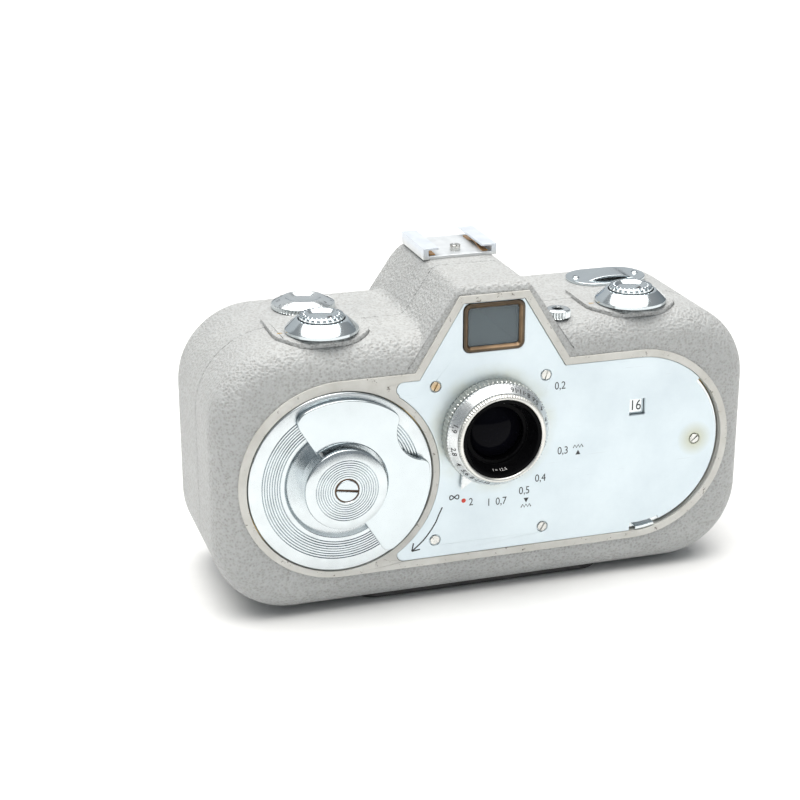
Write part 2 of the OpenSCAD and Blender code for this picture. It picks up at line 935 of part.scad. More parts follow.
module pressure_plate() {
    color([0.45, 0.45, 0.46])
    difference() {
        union() {
            slab(26.6, 27.6)
                translate([gate_x, lens_dz - 4])
                    round_rect(15.6, 26, 1);
            slab(27.5, 28.1)
                translate([gate_x, guide_at[1]])
                    square([2 * guide_at[0] + 2.4, 5], center = true);
        }
        for (s = [-1, 1])
            rod([gate_x + s * guide_at[0], guide_at[1]], 26, 29, 0.8 + fit);
        block([gate_x - 9, shutter_at[0] + claw_x + 1.2], [26, 28.5],
            [shutter_at[1] - claw_drop - 3.3, shutter_at[1] - claw_drop + 3.3]);
    }
}

// ---------------------------------------------------------------- movement plates

post_at = [[-64.6, 17.2], [-64.6, -18.2], [-19, 24], [-36, -28.9], [25, -27.5], [64, 17],
    [64, -17], [23, 26]];
post_r = 2.5;

module chassis_plate() {
    color([0.5, 0.5, 0.48])
    union() {
        slab(chassis_d[0], chassis_d[1])
            difference() {
                round_rect(148, 66, 16);
                translate([0, 40])
                    square([26, 20], center = true);
                translate(lens_at)
                    square([7, 6], center = true);
                translate(shutter_at + [claw_x, -claw_drop])
                    square([2.4, 6.6], center = true);
                for (p = [wheel_at, idler_at, shutter_at])
                    translate(p)
                        circle(arbor_r + fit);
                for (p = [supply_at, takeup_at])
                    translate(p)
                        circle(2.2 + fit);
                translate(governor_at)
                    circle(1 + fit);
                translate(disc_at)
                    circle(winding_r + fit);
            }
        for (s = [-1, 1]) {
            slab(claw_d[0], chassis_d[0] + eps)
                translate(shutter_at + [claw_x - 0.8 + s * 2.1, -15])
                    square([1.2, 5], center = true);
            rod([gate_x + s * guide_at[0], guide_at[1]], chassis_d[1] - eps, 29.6, 0.8);
        }
    }
}

module movement_bridge() {
    cup_r = 4.4;
    color([0.76, 0.68, 0.48])
    difference() {
        union() {
            slab(bridge_d[0], bridge_d[1]) {
                stadium(lip_c, 28);
                for (p = concat(post_at, [governor_at]))
                    translate(p)
                        circle(post_r + 0.8);
            }
            for (p = plate_screw_at)
                rod(p, 1.25, bridge_d[0] + eps, 2);
            rod(dial_at, 1.4, bridge_d[0] + eps, 3);
            rod(disc_at + pawl_off, bridge_d[1] - eps, 5.4, 0.95);
            difference() {
                rod(governor_at, bridge_d[1] - eps, 9.5, cup_r);
                rod(governor_at, bridge_d[1], 10, cup_r - 0.6);
            }
        }
        for (p = [wheel_at, idler_at])
            rod(p, bridge_d[0] - 1, bridge_d[1] + 1, arbor_r + fit);
        rod(governor_at, bridge_d[0] - 1, bridge_d[1] + 1, 1 + fit);
        rod(disc_at, bridge_d[0] - 1, bridge_d[1] + 1, winding_r + fit);
        rod(lens_at, bridge_d[0] - 1, bridge_d[1] + 1, 12);
        for (p = plate_screw_at)
            rod(p, 0, 4, 0.76);
    }
}

module chassis_posts() {
    color([0.7, 0.65, 0.5])
    for (p = post_at)
        rod(p, bridge_d[1], chassis_d[0], post_r);
}

// ---------------------------------------------------------------- lens

module focus_ring() {
    color([0.84, 0.84, 0.85])
    difference() {
        union() {
            slab(-3.4, -0.1)
                translate(lens_at)
                    difference() {
                        circle(focus_r);
                        knurl(focus_r + 0.1, 72, 0.5);
                    }
            rod(lens_at, -0.2, 1.3, 13.2);
        }
        rod(lens_at, -5, 3, 11.95 + fit);
        pointer_wedge(focus_r - 0.82, 0.02);
    }
}

// A flat pointed wedge from radius r outwards at the infinity mark, grown on its sides
module pointer_wedge(r, grow) {
    translate([lens_at[0], Y(0), axis_z + lens_at[1]])
        rotate([0, 120, 0])
            translate([0, grow - 0.3, 0])
                rotate([90, 0, 0])
                    linear_extrude(0.9 + 2 * grow)
                        polygon([[r, -2.2 - grow], [19.2, -0.15], [19.2, 0.15], [r, 2.2 + grow]]);
}

module focus_pointer() {
    color([0.7, 0.7, 0.7])
    pointer_wedge(focus_r - 0.8, 0);
}

module lens_mount() {
    color([0.72, 0.72, 0.7])
    difference() {
        union() {
            rod(lens_at, -3, 9, 11.95);
            rod(lens_at, 1.6, bridge_d[0], 15.5);
        }
        rod(lens_at, -4, 10, 10.6 + fit);
    }
}

module lens_cell() {
    color([0.12, 0.12, 0.12])
    difference() {
        rod(lens_at, -3.4, 12, 10.6);
        rod(lens_at, -7, 13, 7.8);
    }
}

module lens_rim() {
    color([0.86, 0.86, 0.87])
    translate([lens_at[0], Y(0), axis_z + lens_at[1]])
        rotate([90, 0, 0])
            rotate_extrude()
                polygon([[10.6, 6.4], [10.6, 7.5], [11.4, 7.7], [11.4, 8.2], [11.9, 8.5],
                    [12.5, 8.3], [12.8, 7.9], [12.8, 7.4], [11.2, 7.4], [11.2, 6.4]]);
}

module name_ring() {
    color([0.06, 0.06, 0.06])
    translate([lens_at[0], Y(0), axis_z + lens_at[1]])
        rotate([90, 0, 0])
            rotate_extrude()
                polygon([[11.35, 7.75], [11.35, 8.0], [10.6, 8.0], [10.3, 7.7], [9, 4], [8.8, 3.8],
                    [8.8, 3.42], [10.55, 3.42], [10.55, 7.5]]);
}

module aperture_ring() {
    color([0.87, 0.87, 0.88])
    translate([lens_at[0], Y(0), axis_z + lens_at[1]])
        rotate([90, 0, 0])
            difference() {
                rotate_extrude()
                    polygon([[10.6 + fit, 3.7], [14.7, 3.7], [14.9, 4], [14.9, 4.5],
                        [14.5, 4.7], [12.9, 7.1], [11.3, 7.1], [11.3, 6.1], [10.6 + fit, 6.1]]);
                translate([0, 0, 3])
                    linear_extrude(1.6)
                        knurl(15, 96, 0.32);
            }
}

// A lens element with a bulged front face of radius "ball"
module element(d0, thickness, r, ball) {
    intersection() {
        rod(lens_at, d0, d0 + thickness, r);
        translate([lens_at[0], Y(d0 + ball), axis_z + lens_at[1]])
            sphere(ball, $fn = 96);
    }
}

module front_element() {
    color([0.3, 0.35, 0.5, 0.6])
    element(-3.5, 3, 7.7, 16);
}

module rear_element() {
    color([0.3, 0.35, 0.5, 0.6])
    element(6, 2.6, 7.7, 22);
}

module iris_blades() {
    color([0.15, 0.15, 0.16])
    difference() {
        rod(lens_at, 2.4, 2.8, 7.7);
        translate([lens_at[0], Y(4), axis_z + lens_at[1]])
            rotate([90, 0, 0])
                cylinder(h = 4, r = 4.2, $fn = 10);
    }
}

// ---------------------------------------------------------------- frame-rate dial

module speed_dial() {
    dial_r = 25.9;
    slot_r = plate_screw_at[4][0] - dial_at[0];
    color([0.82, 0.84, 0.85])
    union() {
        slab(1.6, 2.4)
            translate(dial_at)
                difference() {
                    circle(dial_r);
                    circle(3 + fit);
                    ring_sector(slot_r - 2.5, slot_r + 2.5, -98, 8);
                }
        slab(0, 1.7)
            translate(dial_at)
                ring_sector(25.35, 26.1, -88, -75);
    }
}

// ---------------------------------------------------------------- finder

module finder_frame() {
    color([0.2, 0.17, 0.13])
    slab(-0.2, 2)
        translate(finder_at)
            difference() {
                round_rect(17.5, 13.7, 2);
                round_rect(15, 11.2, 1);
            }
}

module finder_glass() {
    color([0.4, 0.47, 0.5, 0.6])
    slab(0.9, 1.8)
        translate(finder_at)
            round_rect(14.9, 11.1, 0.9);
}

module finder_tunnel() {
    color([0.15, 0.15, 0.15])
    slab(2.7, body_d - 4.2)
        translate(finder_at)
            difference() {
                square([15.6, 12.4], center = true);
                square([14, 10.8], center = true);
            }
}

module eyepiece() {
    color([0.2, 0.2, 0.2])
    difference() {
        union() {
            rod(finder_at, body_d - 4.1, body_d + 0.5, 5.45);
            rod(finder_at, body_d + 0.05, body_d + 1.6, 6.6);
        }
        rod(finder_at, body_d - 5, body_d + 2, 4.2);
    }
}

module eyepiece_glass() {
    color([0.4, 0.47, 0.5, 0.6])
    rod(finder_at, body_d - 1.5, body_d - 0.3, 4.18);
}

// ---------------------------------------------------------------- top fittings

shoe_d = [28.6, 49.1];
shoe_w = 21.8;
shoe_slot_w = 18.7;
shoe_mouth = 12.8;
shoe_rise = 3.25;

module accessory_shoe() {
    sheet = 0.9;
    color([0.83, 0.84, 0.85])
    slab(shoe_d[0], shoe_d[1])
        translate([0, tower_top])
            difference() {
                translate([-shoe_w / 2, 0])
                    square([shoe_w, shoe_rise]);
                translate([-shoe_slot_w / 2, sheet])
                    square([shoe_slot_w, shoe_rise - 2 * sheet + 0.3]);
                translate([-shoe_mouth / 2, sheet])
                    square([shoe_mouth, shoe_rise]);
            }
}

module shoe_springs() {
    color([0.72, 0.48, 0.2])
    for (s = [-1, 1])
        translate([s * (shoe_slot_w / 2 - 1.5), 0, 0])
            translate([0, Y(shoe_d[0] + 1.2), axis_z + tower_top + 0.95])
                rotate([90, 0, 90])
                    translate([0, 0, -0.8])
                        linear_extrude(1.6)
                            polygon([[0, 0], [3, 0], [8, 0.95], [13, 0], [17, 0], [17, 0.25],
                                [13.1, 0.25], [8, 1.2], [2.9, 0.25], [0, 0.25]]);
}

module shoe_stop_screw() {
    color([0.8, 0.78, 0.7])
    difference() {
        post(0, shoe_d[0] + 4.6, tower_top + 0.9, tower_top + 2.6, 1.5);
        block([-0.25, 0.25], [shoe_d[0] + 2, shoe_d[0] + 8], [tower_top + 2.1, tower_top + 3]);
    }
}

module release_collar(x) {
    color([0.85, 0.86, 0.87])
    translate([x, Y(knob_d), axis_z + tongue_top])
        rotate_extrude()
            polygon([[3.2 + fit, 0.25], [collar_r, 0.25], [collar_r, 1.1], [7.3, 3.6],
                [6.5, 3.7], [6.5, 1.15], [3.2 + fit, 1.05]]);
}

module left_collar() {
    release_collar(-knob_x);
}

module right_collar() {
    release_collar(knob_x);
}

module release_button(x) {
    flutes = 24;
    collet = -tongue_t - 0.3;
    bottom = 1.5 + button_travel;
    color([0.88, 0.88, 0.88])
    translate([x, Y(knob_d), axis_z + tongue_top])
        difference() {
            rotate_extrude()
                polygon([[0, collet - 1], [3.6, collet - 1], [3.6, collet], [2.5, collet],
                    [2.5, bottom], [crown_r, bottom], [crown_r, 4.6], [5.7, 5], [4.6, 5],
                    [3.6, 4.2], [0, 4]]);
            for (i = [0:flutes - 1])
                rotate(i * 360 / flutes)
                    translate([crown_r + 0.15, 0, 4.1])
                        rotate([0, -45, 0])
                            cube([1.6, 0.7, 0.9], center = true);
        }
}

module left_button() {
    release_button(-knob_x);
}

module right_button() {
    release_button(knob_x);
}

module counter_dial() {
    color([0.83, 0.84, 0.85])
    difference() {
        translate([counter_at[0], Y(counter_at[1]), axis_z + top_dz])
            rotate_extrude()
                polygon([[0, -3.4], [1.5, -3.4], [1.5, 0.3], [9, 0.3], [9, 1.5], [8.7, 1.9],
                    [5.7, 3.2], [5.2, 3.2], [3.5, 2.4], [0, 2.1]]);
        translate([counter_at[0], Y(counter_at[1]), axis_z + top_dz + 0.2])
            linear_extrude(1.2)
                knurl(9.15, 60, 0.55);
    }
}

module release_socket() {
    height = 2.3;
    color([0.83, 0.83, 0.83])
    difference() {
        union() {
            post(socket_at[0], socket_at[1], top_dz + 0.02, top_dz + height, 3.6);
            post(socket_at[0], socket_at[1], top_dz - 3, top_dz + 0.1, 2.15);
        }
        post(socket_at[0], socket_at[1], top_dz - 4, top_dz + height + 1, 1.5);
        translate([socket_at[0], Y(socket_at[1]), axis_z + top_dz + 0.4])
            linear_extrude(1.4)
                knurl(3.75, 28, 0.5);
    }
}

module strap_lug() {
    plate = [24, 16];
    bridge_x = 7;
    bridge_y = 4.5;
    arch = [[0, 1.9], [2.5, 1.8], [5, 1.4], [7, 0.8], [8, 0.25], [7.3, 0], [6.4, 0.35], [4.6, 0.9],
        [2.5, 1.2], [0, 1.3]];
    color([0.84, 0.85, 0.86])
    translate([lug_at[0], Y(lug_at[1]), axis_z + top_dz + 0.02]) {
        linear_extrude(0.8)
            difference() {
                intersection() {
                    round_rect(plate[0], plate[1], 7.9);
                    circle(plate[0] / 2);
                }
                square([2 * bridge_x - 3, 2 * bridge_y], center = true);
            }
        translate([0, bridge_y, 0])
            rotate([90, 0, 0])
                linear_extrude(2 * bridge_y)
                    for (s = [0, 1])
                        mirror([s, 0])
                            polygon(arch);
        for (s = [-1, 1])
            translate([s * lug_rivet_x, 0, 0.7])
                cylinder(h = 0.6, r1 = 1.1, r2 = 0.8);
    }
}

front_shell();
rear_shell();
front_bezel();
front_plate();
plate_screws();
base_plate();
base_screws();
tripod_bush();
back_door();
door_hinge_pin();
door_latch();
winding_disc();
winding_hub();
hub_screw();
winding_handle();
handle_pins();
winding_arbor();
click_pawl();
spring_barrel();
mainspring();
intermediate_gear();
idler_gear();
takeup_gear();
takeup_spool();
supply_spindle();
shutter_disc();
shutter_arbor();
governor();
claw();
film_gate();
pressure_plate();
chassis_plate();
movement_bridge();
chassis_posts();
focus_ring();
focus_pointer();
lens_mount();
lens_cell();
lens_rim();
name_ring();
aperture_ring();
front_element();
rear_element();
iris_blades();
speed_dial();
finder_frame();
finder_glass();
finder_tunnel();
eyepiece();
eyepiece_glass();
accessory_shoe();
shoe_springs();
shoe_stop_screw();
left_collar();
right_collar();
left_button();
right_button();
counter_dial();
release_socket();
strap_lug();
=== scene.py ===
import bmesh
import bpy
import json
import math
from mathutils import Matrix, Vector

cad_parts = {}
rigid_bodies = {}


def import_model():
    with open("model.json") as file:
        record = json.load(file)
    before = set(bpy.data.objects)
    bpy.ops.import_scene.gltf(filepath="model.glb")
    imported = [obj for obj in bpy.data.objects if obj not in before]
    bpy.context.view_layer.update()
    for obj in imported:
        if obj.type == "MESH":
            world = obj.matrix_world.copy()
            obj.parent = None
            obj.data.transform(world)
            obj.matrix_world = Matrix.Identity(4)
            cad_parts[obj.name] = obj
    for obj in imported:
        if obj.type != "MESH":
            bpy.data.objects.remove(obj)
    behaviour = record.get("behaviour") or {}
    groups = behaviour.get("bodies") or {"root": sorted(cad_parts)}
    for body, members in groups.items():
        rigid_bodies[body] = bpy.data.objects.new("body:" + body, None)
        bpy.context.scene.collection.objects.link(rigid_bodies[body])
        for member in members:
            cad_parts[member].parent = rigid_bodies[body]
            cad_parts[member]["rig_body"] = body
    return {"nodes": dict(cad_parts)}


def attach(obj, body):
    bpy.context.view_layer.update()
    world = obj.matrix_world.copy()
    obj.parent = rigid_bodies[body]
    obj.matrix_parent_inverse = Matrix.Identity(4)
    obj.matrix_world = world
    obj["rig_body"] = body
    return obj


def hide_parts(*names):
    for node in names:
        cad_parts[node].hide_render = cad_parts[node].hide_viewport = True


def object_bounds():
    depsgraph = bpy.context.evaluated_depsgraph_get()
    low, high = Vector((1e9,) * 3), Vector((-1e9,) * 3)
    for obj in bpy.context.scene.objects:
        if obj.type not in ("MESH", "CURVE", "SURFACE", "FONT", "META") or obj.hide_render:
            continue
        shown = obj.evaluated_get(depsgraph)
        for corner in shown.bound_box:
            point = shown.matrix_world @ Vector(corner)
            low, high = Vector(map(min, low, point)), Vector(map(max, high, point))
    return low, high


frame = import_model()
cad_low, cad_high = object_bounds()
MM = 0.001
HALF_DEPTH = 26.5      # the bezel's face lies this far in front of the row frame's middle
AXIS_Z = 40.0          # the body's middle line above the base plate's underside

# Places on the front as (x, height above the middle line), and on the top as (x, depth), in mm.
LENS = (0.0, 10.0)
DISC = (-43.5, -0.5)
DIAL = (43.5, 0.0)
FINDER = (0.0, 39.8)
KNOB_X, KNOB_D = 45.2, 11.8
TONGUE_TOP = 39.4      # the raised pads that carry the knobs
TOP = 38.4             # the body's top
COUNTER = (-43.8, 37.3)
SOCKET = (21.5, 7.7)
PLATE_SCREWS = [(-16.6, 24.2), (15.5, 24.2), (-16.6, -21.3), (15.5, -21.4), (61.8, 0.0)]
SLOT_TURN = -9         # of the hub screw
PRINT = 0.03           # thickness of printed figures and lines
PLATE_FACE = 0.25      # depth of the front plate's face
DIAL_FACE = 1.585      # depth of the rate dial's face

CAMERA_AT = Vector((-0.16544, -0.4705, 0.23146))
CAMERA_TO = Vector((-0.02683, -0.0265, 0.0616))
CAMERA_ROLL = -0.115   # in degrees


def at(x, d, z):
    """A point from x, depth behind the bezel's face and height above the middle line, in mm."""
    return Vector((x * MM, (d - HALF_DEPTH) * MM, (z + AXIS_Z) * MM))


# ------------------------------------------------------------------ camera

def aim(position, target, roll):
    """The matrix that puts a camera or lamp at position, looking at target."""
    direction = (target - position).normalized()
    turn = direction.to_track_quat("-Z", "Y").to_matrix().to_4x4()
    return Matrix.Translation(position) @ turn @ Matrix.Rotation(math.radians(roll), 4, "Z")


cam_data = bpy.data.cameras.new("camera")
cam_data.lens = 82.6
cam_data.sensor_width = 36.0
cam_data.clip_start = 0.01
cam_data.clip_end = 20.0
cam = bpy.data.objects.new("camera", cam_data)
bpy.context.scene.collection.objects.link(cam)
cam.matrix_world = aim(CAMERA_AT, CAMERA_TO, CAMERA_ROLL)
bpy.context.scene.camera = cam


# ------------------------------------------------------------------ node materials

class Mat:
    """A node material with short ways to add the parts that recur."""

    def __init__(self, name):
        self.m = bpy.data.materials.new(name)
        self.m.use_nodes = True
        self.t = self.m.node_tree
        self.t.nodes.clear()
        self.out = self.t.nodes.new("ShaderNodeOutputMaterial")
        self.bsdf = self.t.nodes.new("ShaderNodeBsdfPrincipled")
        self.t.links.new(self.bsdf.outputs[0], self.out.inputs[0])
        self.co = self.t.nodes.new("ShaderNodeTexCoord").outputs["Object"]

    def link(self, a, b):
        self.t.links.new(a, b)

    def set(self, **values):
        for key, value in values.items():
            self.bsdf.inputs[key].default_value = value

    def noise(self, scale, detail=2.0, rough=0.5, co=None):
        n = self.t.nodes.new("ShaderNodeTexNoise")
        n.inputs["Scale"].default_value = scale
        n.inputs["Detail"].default_value = detail
        n.inputs["Roughness"].default_value = rough
        self.link(co or self.co, n.inputs["Vector"])
        return n.outputs["Fac"]

    def cells(self, scale):
        n = self.t.nodes.new("ShaderNodeTexVoronoi")
        n.inputs["Scale"].default_value = scale
        self.link(self.co, n.inputs["Vector"])
        return n.outputs["Distance"]

    def stretch(self, sx, sy, sz, turn=(0, 0, 0)):
        n = self.t.nodes.new("ShaderNodeMapping")
        n.inputs["Scale"].default_value = (sx, sy, sz)
        n.inputs["Rotation"].default_value = turn
        self.link(self.co, n.inputs["Vector"])
        return n.outputs[0]

    def ramp(self, fac, stops):
        n = self.t.nodes.new("ShaderNodeValToRGB")
        e = n.color_ramp.elements
        while len(e) < len(stops):
            e.new(0.5)
        for k, (place, color) in enumerate(stops):
            e[k].position = place
            e[k].color = (*color, 1.0) if hasattr(color, "__len__") else (color, color, color, 1.0)
        self.link(fac, n.inputs[0])
        return n.outputs[0]

    def math(self, op, a, b=None):
        n = self.t.nodes.new("ShaderNodeMath")
        n.operation = op
        for socket, value in zip(n.inputs, (a, b)):
            if value is None:
                continue
            if hasattr(value, "links"):
                self.link(value, socket)
            else:
                socket.default_value = value
        return n.outputs[0]

    def mix(self, fac, a, b):
        n = self.t.nodes.new("ShaderNodeMix")
        n.data_type = "RGBA"
        for socket, value in ((n.inputs[0], fac), (n.inputs[6], a), (n.inputs[7], b)):
            if hasattr(value, "links"):
                self.link(value, socket)
            else:
                socket.default_value = (*value, 1.0) if hasattr(value, "__len__") else value
        return n.outputs[2]

    def radius(self, x, z):
        """Distance from a front-to-back axis, in metres."""
        s = self.t.nodes.new("ShaderNodeSeparateXYZ")
        self.link(self.co, s.inputs[0])
        dx = self.math("SUBTRACT", s.outputs[0], x * MM)
        dz = self.math("SUBTRACT", s.outputs[2], (z + AXIS_Z) * MM)
        squares = self.math("ADD", self.math("MULTIPLY", dx, dx), self.math("MULTIPLY", dz, dz))
        return self.math("SQRT", squares)

    def bump(self, height, strength, distance):
        n = self.t.nodes.new("ShaderNodeBump")
        n.inputs["Strength"].default_value = strength
        n.inputs["Distance"].default_value = distance
        self.link(height, n.inputs["Height"])
        self.link(n.outputs[0], self.bsdf.inputs["Normal"])

    def color(self, socket):
        self.link(socket, self.bsdf.inputs["Base Color"])

    def rough(self, socket):
        self.link(socket, self.bsdf.inputs["Roughness"])


def tone(c, k):
    """The colour c made k times as bright."""
    return tuple(min(1.0, v * k) for v in c)


def plain(name, base, metallic, rough, vary=0.08, grain=900.0, bump=0.00002, spread=0.08, ior=1.5):
    """Metal, lacquer or plastic with slight cloudiness, uneven gloss and a fine surface grain."""
    m = Mat(name)
    cloud = m.noise(140.0, 4.0, 0.6)
    m.color(m.ramp(cloud, [(0.3, tone(base, 1 - vary)), (0.7, tone(base, 1 + vary))]))
    m.rough(m.ramp(m.noise(420.0, 3.0, 0.6), [(0.3, max(0.02, rough - spread)), (0.75, rough + spread)]))
    m.set(Metallic=metallic, IOR=ior)
    m.bump(m.noise(grain * 4, 2.0), 0.35, bump)
    return m.m


def enamel():
    """Stove enamel with a fine wrinkled skin."""
    m = Mat("enamel")
    warp = m.noise(1300.0, 3.0, 0.65)
    skin = m.cells(1250.0)
    wrinkle = m.math("ADD", m.math("MULTIPLY", skin, 0.9), m.math("MULTIPLY", warp, 0.9))
    base = m.ramp(m.noise(38.0, 4.0, 0.6), [(0.3, (0.425, 0.435, 0.435)), (0.7, (0.485, 0.495, 0.49))])
    pits = m.ramp(wrinkle, [(0.45, 0.0), (1.05, 1.0)])
    m.color(m.mix(pits, (0.33, 0.325, 0.315), base))
    m.rough(m.ramp(m.noise(600.0, 3.0), [(0.3, 0.36), (0.8, 0.54)]))
    m.bump(wrinkle, 0.9, 0.0004)
    return m.m


def bezel_lacquer():
    """Pale lacquer, clouded and chipped."""
    m = Mat("bezel_lacquer")
    cloud = m.ramp(m.noise(120.0, 4.0, 0.65), [(0.3, (0.54, 0.53, 0.49)), (0.7, (0.66, 0.655, 0.62))])
    chips = m.ramp(m.noise(520.0, 5.0, 0.75), [(0.62, 0.0), (0.67, 1.0)])
    m.color(m.mix(chips, cloud, (0.13, 0.11, 0.09)))
    m.rough(m.ramp(m.noise(500.0, 3.0), [(0.3, 0.36), (0.8, 0.55)]))
    m.bump(m.math("SUBTRACT", m.noise(900.0, 3.0), chips), 0.5, 0.00005)
    return m.m


LENS_STAIN_R = 0.0158    # radius of the yellowed ring round the lens, in metres
SCREW_HALO_R = 0.0015    # radius of the one round the right screw


def satin_plate():
    """Satin metal with fine scratches, faint stains and yellowed rings round the lens and the right screw."""
    m = Mat("satin_plate")
    fine = m.noise(1.0, 6.0, 0.7, m.stretch(900.0, 900.0, 5200.0, (0, math.radians(8), 0)))
    hair = m.ramp(m.noise(1.0, 3.0, 0.6, m.stretch(70.0, 70.0, 2600.0, (0, math.radians(-14), 0))),
                  [(0.70, 0.0), (0.74, 1.0)])
    base = m.ramp(m.noise(45.0, 5.0, 0.65), [(0.3, (0.61, 0.69, 0.735)), (0.7, (0.70, 0.78, 0.82))])
    off_lens = m.math("ABSOLUTE", m.math("SUBTRACT", m.radius(*LENS), LENS_STAIN_R))
    ring = m.ramp(off_lens, [(0.0, 1.0), (0.0020, 0.0)])
    ring = m.math("MULTIPLY", ring, m.ramp(m.noise(160.0, 3.0), [(0.35, 0.15), (0.7, 0.9)]))
    off_screw = m.math("ABSOLUTE", m.math("SUBTRACT", m.radius(*PLATE_SCREWS[4]), SCREW_HALO_R))
    halo = m.ramp(off_screw, [(0.0, 0.9), (0.0008, 0.0)])
    stain = m.math("MAXIMUM", m.math("MULTIPLY", ring, 0.45), m.math("MULTIPLY", halo, 0.75))
    tinted = m.mix(stain, base, (0.47, 0.46, 0.29))
    m.color(m.mix(m.math("MULTIPLY", hair, 0.35), tinted, (0.45, 0.48, 0.5)))
    m.rough(m.ramp(fine, [(0.3, 0.30), (0.75, 0.46)]))
    m.set(Metallic=0.72)
    m.bump(m.math("ADD", fine, m.math("MULTIPLY", hair, -0.6)), 0.25, 0.00002)
    return m.m


TURNING = 0.00022        # pitch of the fine rings that turning leaves, in metres


def turned(name, base, rough, x, z):
    """Metal turned on a lathe: fine rings about a front-to-back axis."""
    m = Mat(name)
    rings = m.math("SINE", m.math("MULTIPLY", m.radius(x, z), 2 * math.pi / TURNING))
    cloud = m.noise(220.0, 3.0, 0.6)
    m.color(m.ramp(cloud, [(0.3, tone(base, 0.93)), (0.7, tone(base, 1.04))]))
    m.rough(m.ramp(m.noise(350.0, 3.0), [(0.3, max(0.04, rough - 0.05)), (0.8, rough + 0.07)]))
    m.set(Metallic=1.0)
    m.bump(rings, 0.22, 0.000018)
    return m.m


def nickel():
    """Nickelled screws; the upper left one on the plate has worn to brass."""
    m = Mat("nickel_screws")
    cloud = m.noise(260.0, 4.0, 0.6)
    bright = m.ramp(cloud, [(0.3, (0.58, 0.58, 0.56)), (0.7, (0.72, 0.72, 0.69))])
    worn = m.ramp(cloud, [(0.3, (0.38, 0.25, 0.12)), (0.7, (0.62, 0.45, 0.22))])
    m.color(m.mix(m.ramp(m.radius(*PLATE_SCREWS[0]), [(0.0025, 1.0), (0.003, 0.0)]), bright, worn))
    m.rough(m.ramp(m.noise(420.0, 3.0), [(0.3, 0.2), (0.8, 0.36)]))
    m.set(Metallic=1.0)
    m.bump(m.noise(3600.0, 2.0), 0.35, 0.00002)
    return m.m


SHOE_BASE_TOP = 0.0915   # height where the shoe's duller base ends, in metres
SHOE_RAILS = 0.0932      # height where its clean rails begin


def shoe_steel():
    """Satin shoe: clean bluish rails over a duller, yellowed base."""
    m = Mat("shoe_steel")
    s = m.t.nodes.new("ShaderNodeSeparateXYZ")
    m.link(m.co, s.inputs[0])
    cloud = m.noise(240.0, 4.0, 0.6)
    rails = m.ramp(cloud, [(0.3, (0.66, 0.71, 0.77)), (0.7, (0.76, 0.80, 0.85))])
    floor = m.ramp(cloud, [(0.3, (0.56, 0.54, 0.47)), (0.7, (0.70, 0.69, 0.64))])
    m.color(m.mix(m.ramp(s.outputs[2], [(SHOE_BASE_TOP, 0.0), (SHOE_RAILS, 1.0)]), floor, rails))
    m.rough(m.ramp(m.noise(420.0, 3.0), [(0.3, 0.28), (0.8, 0.44)]))
    m.set(Metallic=0.45)
    m.bump(m.noise(1.0, 4.0, 0.6, m.stretch(900.0, 5200.0, 900.0)), 0.3, 0.00002)
    return m.m


def knurled(name, base, rough, shade_bands):
    """Turned chrome about the lens axis, with scattered dirt, and painted shade in the knurls' valleys
    between the given radii (in mm).
    """
    m = Mat(name)
    r = m.radius(*LENS)
    dirt_and_shade = m.ramp(m.noise(500.0, 3.0), [(0.62, 0.0), (0.72, 0.25)])
    # Between the given radii the knurl's valleys are darkened: painted shade, added to the scattered dirt.
    for low, high in shade_bands:
        band = m.math("MULTIPLY", m.ramp(r, [(low * MM - 0.0001, 0.0), (low * MM, 1.0)]),
                      m.ramp(r, [(high * MM - 0.00015, 1.0), (high * MM, 0.0)]))
        dirt_and_shade = m.math("MAXIMUM", dirt_and_shade, band)
    clean = m.ramp(m.noise(220.0, 3.0, 0.6), [(0.3, tone(base, 0.93)), (0.7, tone(base, 1.04))])
    m.color(m.mix(m.math("MULTIPLY", dirt_and_shade, 0.8), clean, (0.22, 0.21, 0.18)))
    m.rough(m.ramp(m.noise(350.0, 3.0), [(0.3, rough - 0.05), (0.8, rough + 0.08)]))
    m.set(Metallic=0.9)
    m.bump(m.math("SINE", m.math("MULTIPLY", r, 2 * math.pi / TURNING)), 0.15, 0.000012)
    return m.m


def glass(name, base, rough, ior, alpha):
    """Coated glass, slightly uneven in gloss."""
    m = Mat(name)
    m.color(m.ramp(m.noise(180.0, 3.0), [(0.3, tone(base, 0.92)), (0.7, tone(base, 1.06))]))
    m.rough(m.ramp(m.noise(500.0, 3.0), [(0.4, rough), (0.8, rough + 0.05)]))
    m.set(IOR=ior, Alpha=alpha)
    m.bump(m.noise(300.0, 2.0), 0.08, 0.00002)
    return m.m


